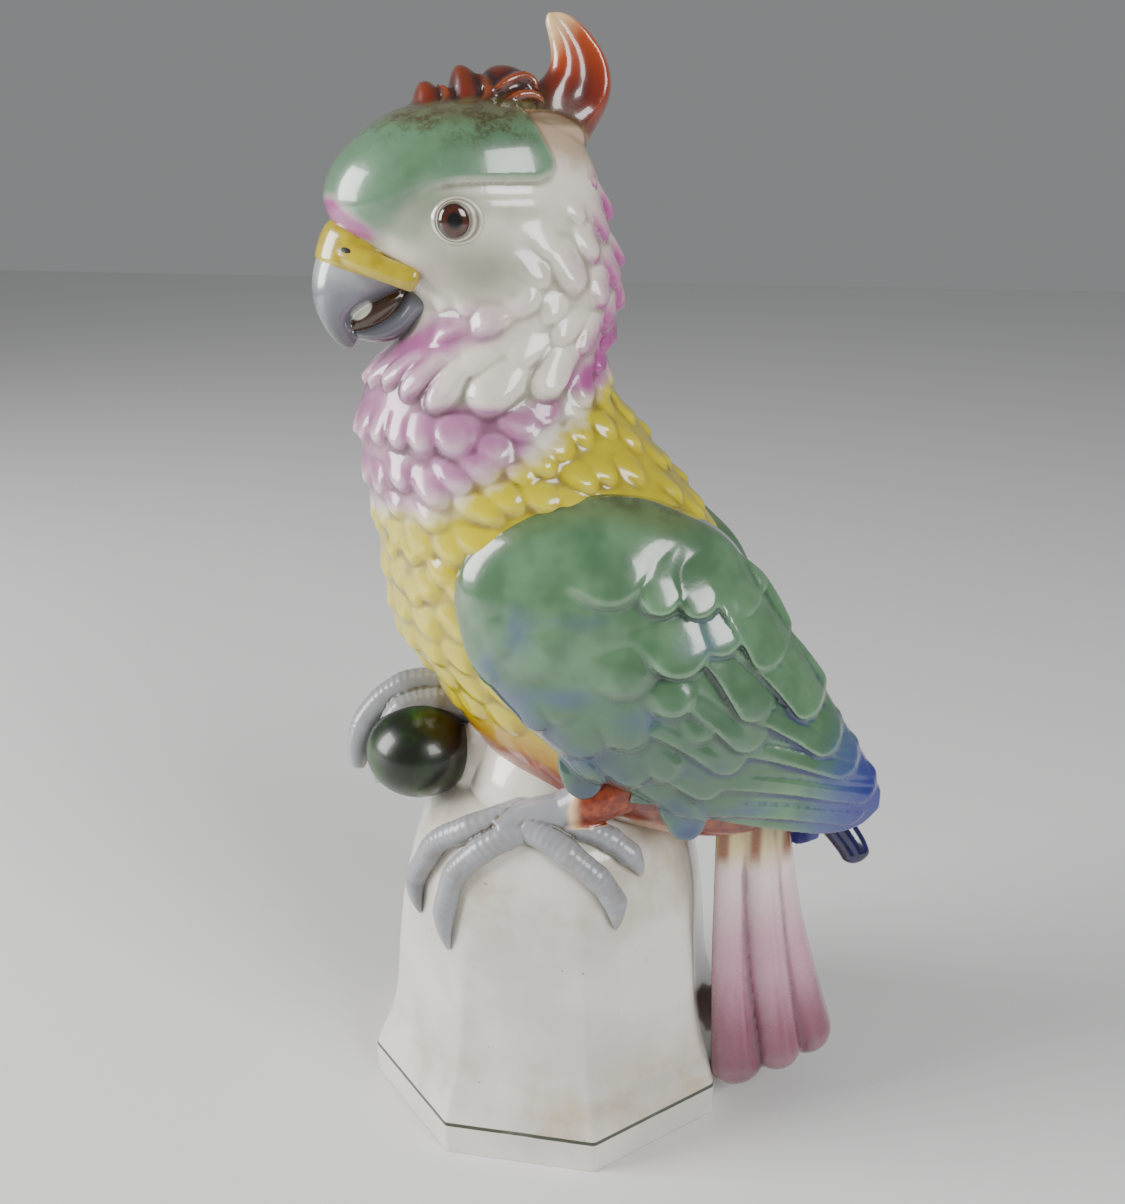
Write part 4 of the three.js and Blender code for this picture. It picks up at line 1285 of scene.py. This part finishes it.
def glazeBird():
    g = Glaze("birdGlaze")
    c = birdColours
    hollow, cap, yellow, plume, share = g.stored("hollow", "cap", "yellow", "plume", "share")
    curl, brow, tallOne, thigh, belly = g.stored("curl", "brow", "tallOne", "thigh", "belly")
    x, z = g.axis("X"), g.axis("Z")
    cloud, drift, speck = g.noise(14, 2), g.noise(5, 3), g.noise(1.3, 4, 0.7)
    ridge = (-hollow).ramp(0.05, 0.7)
    deep = hollow.ramp(-0.02, 0.5)

    # White face and neck; the grey, plum and deeper rose in the hollows are painted shade, partly pooled
    # glaze, and the paler petal tone and the lighter rose on the ridges are painted highlight
    colour = g.over(c["white"], c["shade"], deep * 0.8 + cloud.ramp(0.45, 0.75) * 0.16)
    stain = g.stored("stain") + (drift - 0.5) * 0.5
    colour = g.over(colour, c["stain"], stain.ramp(0.2, 1.0) * 0.65)
    # The grey zone by the beak and below the eye is painted shade
    colour = g.over(colour, c["faceShade"], (g.stored("faceShade") + cloud * 0.2 - 0.1).ramp(0.1, 1.0) * 0.85)
    moss = g.stored("moss") + cloud * 0.2 - 0.1
    colour = g.over(colour, c["moss"], moss.ramp(0.1, 0.9) * 0.8)
    lilac = g.stored("lilac") + (drift - 0.5) * 0.3 + (cloud - 0.5) * 0.3
    colour = g.over(colour, c["lilac"], lilac.ramp(0.15, 0.8))
    highlightAndMottle = ridge * 0.5 + cloud.ramp(0.5, 0.75) * 0.25
    colour = g.over(colour, c["petalHighlight"], lilac.ramp(0.15, 0.6) * highlightAndMottle)
    colour = g.over(colour, c["plumShade"], lilac.ramp(0.2, 0.9) * deep * 0.95)
    rose = g.stored("rose") * (1.1 - ridge * 0.25) + (drift - 0.5) * 0.25
    colour = g.over(colour, c["rose"], rose.ramp(0.2, 0.9))
    colour = g.over(colour, c["deepRoseAndShade"], rose.ramp(0.6, 1.2) * (0.25 + deep * 0.75))

    # Yellow body, run out into white above and brick below; ochre in the hollows and rust in the brick's
    # hollows are painted shade, partly pooled glaze, and the paler ridges are painted highlight
    border = yellow + (drift - 0.5) * 8 + (cloud - 0.5) * 8
    breast = g.over(c["yellow"], c["pale"], ridge * 0.7 + cloud.ramp(0.5, 0.8) * 0.3)
    breast = g.over(breast, c["ochreShade"], deep * 0.8 + drift.ramp(0.55, 0.8) * 0.2)
    breast = g.over(breast, c["grime"], deep * deep * speck.ramp(0.45, 0.7) * 0.4)
    colour = g.over(colour, c["white"], border.ramp(-6, -1) * border.ramp(6, 1) * 0.2)
    colour = g.over(colour, c["ochreShade"], border.ramp(-3, 1) * border.ramp(6, 1) * deep * 0.5)
    colour = g.over(colour, breast, border.ramp(-3, 5))
    low = (139 - z) + x.ramp(24, -6) * 11 + (drift - 0.5) * 6
    colour = g.over(colour, c["brickPale"], low.ramp(-14, 2) * 0.6)
    brick = g.over(c["brick"], c["brickPale"], drift.ramp(0.4, 0.65))
    brick = g.over(brick, c["rust"], deep * 0.6)
    colour = g.over(colour, brick, low.ramp(0, 6))
    colour = g.over(colour, brick, thigh * z.ramp(150, 143))
    colour = g.over(colour, c["cream"], low.ramp(12, 20) * belly * 0.5)

    # Green cap: soft over the brow, crisp behind, specked with dirt towards the crest; darker in the
    # hollows as painted shade and paler on the ridges as painted highlight
    edge = cap + brow * 14 + (drift - 0.5) * 1.2
    green = g.over(c["sage"], c["sageShadeAndMottle"], deep * 0.6 + cloud.ramp(0.45, 0.75) * 0.5)
    green = g.over(green, c["sagePale"], ridge * 0.3 + drift.ramp(0.6, 0.8) * 0.2)
    dirt = (z + (cloud - 0.5) * 10).ramp(339, 350) * drift.ramp(0.4, 0.6) * speck.ramp(0.35, 0.6)
    green = g.over(green, c["root"], (z + (drift - 0.5) * 6).ramp(344, 352) * 0.7)
    green = g.over(green, c["grime"], dirt * 0.85)
    soft = edge.ramp(-2, 2.6) * (1 - brow) + edge.ramp(-3, 7) * brow
    colour = g.over(colour, green, soft * (1 - g.stored("rose").ramp(0.3, 0.9)))

    # Crest: rust-red plumes, the tall one paling to cream at its tip; darker in the hollows as painted
    # shade, with amber on the ridges and the curls as painted highlight
    darkRootsAndShade = (0.35 + share.ramp(0.25, 0.9) * 0.55) * (1 - tallOne) + deep * 0.6
    rust = g.over(c["rust"], c["darkRust"], darkRootsAndShade)
    rust = g.over(rust, c["darkRust"], share.ramp(0.42, 0.1) * tallOne * (cloud * 0.6 + 0.3))
    rust = g.over(rust, c["amber"], ridge * 0.3 + share.ramp(0.3, 0.7) * tallOne * 0.9)
    rust = g.over(rust, c["cream"], (share + (x - 4) * -0.012).ramp(0.58, 0.95) * tallOne * 0.95)
    rooted = share + (drift - 0.5) * 0.16
    colour = g.over(colour, c["root"], plume * rooted.ramp(-0.05, 0.2) * 0.7)
    grown = rooted.ramp(0.12, 0.42) * (1 - tallOne) + rooted.ramp(0.02, 0.2) * tallOne
    colour = g.over(colour, rust, plume * grown)
    curled = g.over(c["darkRust"], c["amber"], ridge * 0.5 + 0.15)
    colour = g.over(colour, curled, curl * z.ramp(351, 356) * 0.9)
    colour = g.over(colour, c["root"], curl * z.ramp(353, 349) * z.ramp(346, 348) * 0.7)
    return g.finish(colour, 0.28 + speck * 0.06 + deep * 0.08, drift * 0.35 + speck * 0.05, 0.35)


wingColours = {
    "sage": tint(68, 104, 72), "sagePale": tint(92, 130, 94), "light": tint(138, 176, 140),
    "deep": tint(26, 54, 44), "slate": tint(50, 70, 68), "blue": tint(70, 88, 118),
    "strong": tint(50, 66, 110), "groove": tint(26, 34, 104), "violet": tint(66, 78, 144),
    "tip": tint(32, 38, 124), "olive": tint(96, 98, 40), "dirt": tint(58, 46, 16),
}


def glazeWing():
    g = Glaze("wingGlaze")
    c = wingColours
    hollow, rim, blue, tipward = g.stored("hollow", "rim", "blue", "tipward")
    cloud, drift, speck = g.noise(16, 2), g.noise(5, 3), g.noise(1.2, 4, 0.7)
    ridge = (-hollow).ramp(0.05, 0.7)
    deep = hollow.ramp(0.0, 0.5)
    colour = g.over(c["sage"], c["sagePale"], cloud.ramp(0.35, 0.7))
    # Lighter on the ridges and darker in the hollows: painted highlight and painted shade, the dark
    # partly pooled glaze
    colour = g.over(colour, c["light"], ridge * 0.4)
    colour = g.over(colour, c["deep"], deep * 0.75)
    bluish = blue * (1.15 + deep * 0.8 - ridge * 0.4) + (drift - 0.5) * 0.5 + (cloud - 0.5) * 0.5
    colour = g.over(colour, c["blue"], bluish.ramp(0.2, 0.95) * 0.85)
    colour = g.over(colour, c["strong"], bluish.ramp(0.85, 1.6) * 0.9)
    low = (g.axis("Z") + (drift - 0.5) * 20).ramp(196, 146)
    slate = low * tipward.ramp(95, 50) * (0.25 + cloud.ramp(0.35, 0.65) * 0.5)
    colour = g.over(colour, c["slate"], slate)
    toTip = tipward + (drift - 0.5) * 12
    # Deep blue in the hollows towards the tip: painted shade, partly pooled glaze
    colour = g.over(colour, c["groove"], deep * toTip.ramp(60, 92) * 0.9)
    colour = g.over(colour, c["violet"], toTip.ramp(90, 110) * 0.7)
    colour = g.over(colour, c["tip"], toTip.ramp(100, 121) * 0.95)
    colour = g.over(colour, c["olive"], rim.ramp(10, 2) * 0.5 * (0.5 + cloud * 0.8))
    colour = g.over(colour, c["dirt"], rim.ramp(4.5, 0.5) * drift.ramp(0.4, 0.65) * 0.45)
    colour = g.over(colour, c["dirt"], speck.ramp(0.68, 0.8) * deep * 0.4)
    return g.finish(colour, 0.22 + speck * 0.06 + deep * 0.08, drift * 0.35 + speck * 0.05, 0.35)


farTipColours = {"cobalt": tint(2, 4, 52), "light": tint(6, 10, 84)}


def glazeFarTip():
    g = Glaze("cobaltGlaze")
    c = farTipColours
    cloud, speck = g.noise(6, 3), g.noise(1.2, 4)
    colour = g.over(c["cobalt"], c["light"], cloud.ramp(0.4, 0.7))
    return g.finish(colour, 0.18 + speck * 0.05, cloud * 0.4, 0.3)


tailColours = {
    "cream": tint(206, 186, 124), "pale": tint(226, 204, 204), "pink": tint(190, 136, 158),
    "mauve": tint(124, 50, 80), "rose": tint(82, 14, 42), "deep": tint(84, 38, 58),
    "patch": tint(124, 48, 10),
}


def glazeTail():
    g = Glaze("tailGlaze")
    c = tailColours
    hollow = g.stored("hollow")
    x, z = g.axis("X"), g.axis("Z")
    cloud, streak, speck = g.noise(12, 2), g.noise(9, 3, 0.5, (1, 1, 0.22)), g.noise(1.3, 4)
    ridge = (-hollow).ramp(0.05, 0.8)
    deep = hollow.ramp(0.0, 0.6)
    down = z + (streak - 0.5) * 26
    colour = g.over(c["pale"], c["pink"], down.ramp(100, 60))
    colour = g.over(colour, c["mauve"], down.ramp(62, 30))
    colour = g.over(colour, c["rose"], down.ramp(34, 8) * 0.9)
    # Paler on the ridges and darker in the hollows: painted highlight and painted shade
    colour = g.over(colour, c["pale"], ridge * 0.25)
    colour = g.over(colour, c["deep"], deep * 0.65)
    colour = g.over(colour, c["cream"], (z + (cloud - 0.5) * 8).ramp(94, 107) * 0.9)
    spot = g.math("SINE", (x - 72.9) * 0.56)
    patch = (z + (cloud - 0.5) * 6).ramp(96, 105) * spot.ramp(-0.1, 1.0)
    colour = g.over(colour, c["patch"], patch * 0.9)
    return g.finish(colour, 0.24 + speck * 0.06, streak * 0.5 + speck * 0.05, 0.35)


footColours = {
    "grey": tint(138, 139, 144), "light": tint(164, 164, 166), "ridge": tint(206, 206, 204),
    "deep": tint(66, 62, 60), "brown": tint(92, 78, 50), "brick": tint(112, 34, 6),
    "brickPale": tint(150, 62, 20), "cream": tint(240, 202, 150),
}


def glazeFeet():
    g = Glaze("footGlaze")
    c = footColours
    cloud, drift, speck = g.noise(9, 2), g.noise(3, 3), g.noise(0.9, 4)
    hollow = g.stored("hollow")
    thigh = g.stored("thigh") + (cloud - 0.5) * 0.25
    colour = g.over(c["grey"], c["light"], cloud.ramp(0.3, 0.8) * 0.6)
    # Lighter on the ridges and darker in the hollows: painted highlight and painted shade; the brown in
    # the hollows after it is dirt
    colour = g.over(colour, c["ridge"], (-hollow).ramp(0.05, 0.4) * 0.5)
    colour = g.over(colour, c["deep"], hollow.ramp(0.0, 0.3) * 0.75)
    colour = g.over(colour, c["brown"], hollow.ramp(0.0, 0.2) * drift.ramp(0.4, 0.6) * 0.7)
    colour = g.over(colour, c["brown"], cloud.ramp(0.5, 0.75) * 0.35)
    colour = g.over(colour, c["cream"], thigh.ramp(0.08, 0.3) * 0.8)
    brick = g.over(c["brick"], c["brickPale"], drift.ramp(0.4, 0.65))
    colour = g.over(colour, brick, thigh.ramp(0.18, 0.75))
    return g.finish(colour, 0.34 + speck * 0.08, speck * 0.15 + drift * 0.2, 0.3, 0.55)


nutColours = {
    "dark": tint(12, 20, 5), "green": tint(30, 66, 8), "black": tint(8, 10, 4),
    "fleck": tint(58, 36, 14),
}


def glazeNut():
    g = Glaze("nutGlaze")
    c = nutColours
    cloud, drift, speck = g.noise(16, 3, 0.6, (1, 1, 0.5)), g.noise(4, 3), g.noise(0.8, 3)
    colour = g.over(c["dark"], c["green"], cloud.ramp(0.42, 0.7))
    colour = g.over(colour, c["black"], drift.ramp(0.52, 0.75) * 0.6)
    colour = g.over(colour, c["fleck"], speck.ramp(0.72, 0.8) * 0.35)
    return g.finish(colour, 0.3 + speck * 0.05, cloud * 0.6 + speck * 0.05, 0.3, 0.3)


beakColours = {
    "upper": tint(160, 163, 166), "slate": tint(110, 113, 122), "tip": tint(78, 78, 84),
    "ridge": tint(206, 206, 200), "mouth": tint(70, 46, 30), "throat": tint(30, 18, 12),
    "lens": tint(226, 224, 208), "wax": tint(190, 170, 24), "waxDeep": tint(156, 134, 10),
    "waxShade": tint(96, 68, 10), "waxHighlight": tint(232, 214, 112), "nostril": tint(14, 12, 10),
}


def glazeBeak():
    g = Glaze("beakGlaze")
    c = beakColours
    cere, mouth, hollow, nostril, lens = g.stored("cere", "mouth", "hollow", "nostril", "lens")
    z = g.axis("Z")
    cloud, drift, speck = g.noise(9, 2), g.noise(3, 3), g.noise(0.9, 4)
    down = z + (cloud - 0.5) * 8
    colour = g.over(c["upper"], c["slate"], down.ramp(306, 295))
    colour = g.over(colour, c["tip"], down.ramp(296, 281) * 0.85)
    # Paler on the ridges: painted highlight
    colour = g.over(colour, c["ridge"], (-hollow).ramp(0.2, 1.0) * 0.45)
    # Inside the mouth, darker deeper in its hollow: painted shade
    inner = g.over(c["mouth"], c["throat"], hollow.ramp(0.0, 0.8) + drift.ramp(0.4, 0.7) * 0.4)
    colour = g.over(colour, inner, mouth.ramp(0.25, 0.6))
    colour = g.over(colour, c["lens"], mouth.ramp(0.25, 0.6) * lens.ramp(1.15, 0.85))
    wax = g.over(c["wax"], c["waxDeep"], cloud.ramp(0.35, 0.7))
    # Darker in the cere's hollows and paler on its ridges: painted shade and painted highlight
    wax = g.over(wax, c["waxShade"], hollow.ramp(0.05, 0.5) * 0.6)
    wax = g.over(wax, c["waxHighlight"], (-hollow).ramp(0.1, 0.6) * 0.4)
    colour = g.over(colour, wax, cere.ramp(0.35, 0.6))
    colour = g.over(colour, c["nostril"], nostril.ramp(1.15, 0.85))
    return g.finish(colour, 0.22 + speck * 0.06, drift * 0.25 + speck * 0.05, 0.3)


eyeColours = {
    "white": tint(214, 208, 192), "groove": tint(104, 98, 80), "ring": tint(112, 108, 88),
    "outer": tint(140, 140, 116), "iris": tint(74, 30, 10), "irisEdge": tint(40, 15, 6),
    "irisInner": tint(28, 10, 5), "pupil": tint(6, 5, 5),
}


def glazeEyes():
    g = Glaze("eyeGlaze")
    c = eyeColours
    radial = g.stored("radial")
    drift = g.noise(1.5, 3)
    # Darker in the groove round the iris and between the thin rings, and greyer where the face falls
    # away round the eye: painted shade
    white = g.over(c["white"], c["groove"], radial.ramp(5.7, 5.1) * 0.85)
    white = g.over(white, c["ring"], radial.ramp(5.7, 6.2) * radial.ramp(6.9, 6.3) * 0.8)
    white = g.over(white, c["outer"], radial.ramp(6.8, 7.8) * 0.75)
    mottled = drift.ramp(0.35, 0.65) * 0.5 + radial.ramp(3.6, 4.6) * 0.8
    iris = g.over(c["iris"], c["irisEdge"], mottled)
    iris = g.over(iris, c["irisInner"], radial.ramp(2.8, 2.1) * 0.9)
    colour = g.over(white, iris, radial.ramp(4.85, 4.6))
    colour = g.over(colour, c["pupil"], radial.ramp(2.25, 2.0))
    return g.finish(colour, 0.15, drift * 0.1, 0.2)


pedestalColours = {
    "white": tint(226, 220, 208), "grey": tint(204, 200, 190), "stain": tint(176, 150, 104),
    "smudge": tint(172, 156, 120), "mound": tint(238, 230, 216), "pin": tint(104, 84, 50),
    "line": tint(42, 50, 24),
}


def glazePedestal():
    g = Glaze("pedestalGlaze")
    c = pedestalColours
    z = g.axis("Z")
    cloud, drift, speck, pin = g.noise(42, 3), g.noise(12, 4, 0.6), g.noise(1.2, 4), g.noise(2.4, 1)
    colour = g.over(c["white"], c["grey"], cloud.ramp(0.35, 0.65))
    stain = cloud.ramp(0.38, 0.6) * drift.ramp(0.3, 0.7)
    colour = g.over(colour, c["stain"], stain * z.ramp(46, 14) * z.ramp(11.5, 12.5) * 0.6)
    colour = g.over(colour, c["smudge"], stain * z.ramp(70, 100) * 0.6)
    colour = g.over(colour, c["mound"], z.ramp(118, 132) * 0.6)
    colour = g.over(colour, c["pin"], pin.ramp(0.77, 0.8) * 0.6)
    line = g.math("ABSOLUTE", z - 12.0 + (drift - 0.5) * 0.5)
    colour = g.over(colour, c["line"], line.ramp(0.8, 0.5) * (0.8 + drift * 0.4))
    return g.finish(colour, 0.26 + speck * 0.08 + stain * 0.1, drift * 0.5 + speck * 0.05, 0.3)


dressed = {
    bird: glazeBird(), nearWing: glazeWing(), tailPiece: glazeTail(), standingFoot: glazeFeet(),
    nut: glazeNut(), beakPiece: glazeBeak(), eyes: glazeEyes(), farTip: glazeFarTip(),
    pedestal: glazePedestal(),
}
dressed[farWing] = dressed[nearWing]
dressed[raisedFoot] = dressed[standingFoot]
for piece, material in dressed.items():
    piece.data.materials.clear()
    piece.data.materials.append(material)
    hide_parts(node)
    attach(piece, "root")
    pick(piece)
    bpy.ops.object.shade_smooth()
print("glazed")

stage = {
    "floorSize": 6, "floorColour": (0.8, 0.8, 0.79, 1), "floorRoughness": 0.6,
    "roomColour": (0.78, 0.79, 0.8, 1), "roomStrength": 0.3,
    # Two windows: [place, width, height, watts], both turned to a height over the floor
    "windows": {
        "leftWindow": [(-1.25, -0.4, 0.66), 0.7, 0.9, 32],
        "rightWindow": [(0.95, -0.78, 0.86), 0.7, 0.6, 16],
    },
    "aim": 0.2,
}
camera = {
    "at": (0.08358, -0.42170, 0.3420), "pitch": 19.6, "turn": 10.8,  # degrees down and to the left
    "lens": 1288 / 1204 * 36,  # focal length in pixels over the picture's height, on a 36 mm sensor
}

# The floor, the camera and the light
deselectAll()
bpy.ops.mesh.primitive_plane_add(size=stage["floorSize"], location=(0, 0, 0))
floor = bpy.context.object
floor.name = "floor"
pale = bpy.data.materials.new("paleFloor")
pale.use_nodes = True
paleShader = pale.node_tree.nodes["Principled BSDF"]
paleShader.inputs["Base Color"].default_value = stage["floorColour"]
paleShader.inputs["Roughness"].default_value = stage["floorRoughness"]
floor.data.materials.append(pale)

deselectAll()
bpy.ops.object.camera_add(location=camera["at"])
view = bpy.context.object
view.data.lens = camera["lens"]
view.data.sensor_width = 36
view.data.clip_start = 0.01
view.rotation_euler = (math.radians(90 - camera["pitch"]), 0, math.radians(camera["turn"]))
bpy.context.scene.camera = view

world = bpy.data.worlds.new("softRoom")
world.use_nodes = True
room = world.node_tree.nodes["Background"]
room.inputs["Color"].default_value = stage["roomColour"]
room.inputs["Strength"].default_value = stage["roomStrength"]
bpy.context.scene.world = world

for name, (at, wide, tall, watts) in stage["windows"].items():
    deselectAll()
    bpy.ops.object.light_add(type="AREA", location=at)
    lamp = bpy.context.object
    lamp.name = name
    lamp.data.shape = "RECTANGLE"
    lamp.data.size = wide
    lamp.data.size_y = tall
    lamp.data.energy = watts
    aim = Vector((0, 0, stage["aim"])) - Vector(at)
    lamp.rotation_euler = aim.to_track_quat("-Z", "Y").to_euler()

bpy.context.view_layer.update()
print("scene ready")
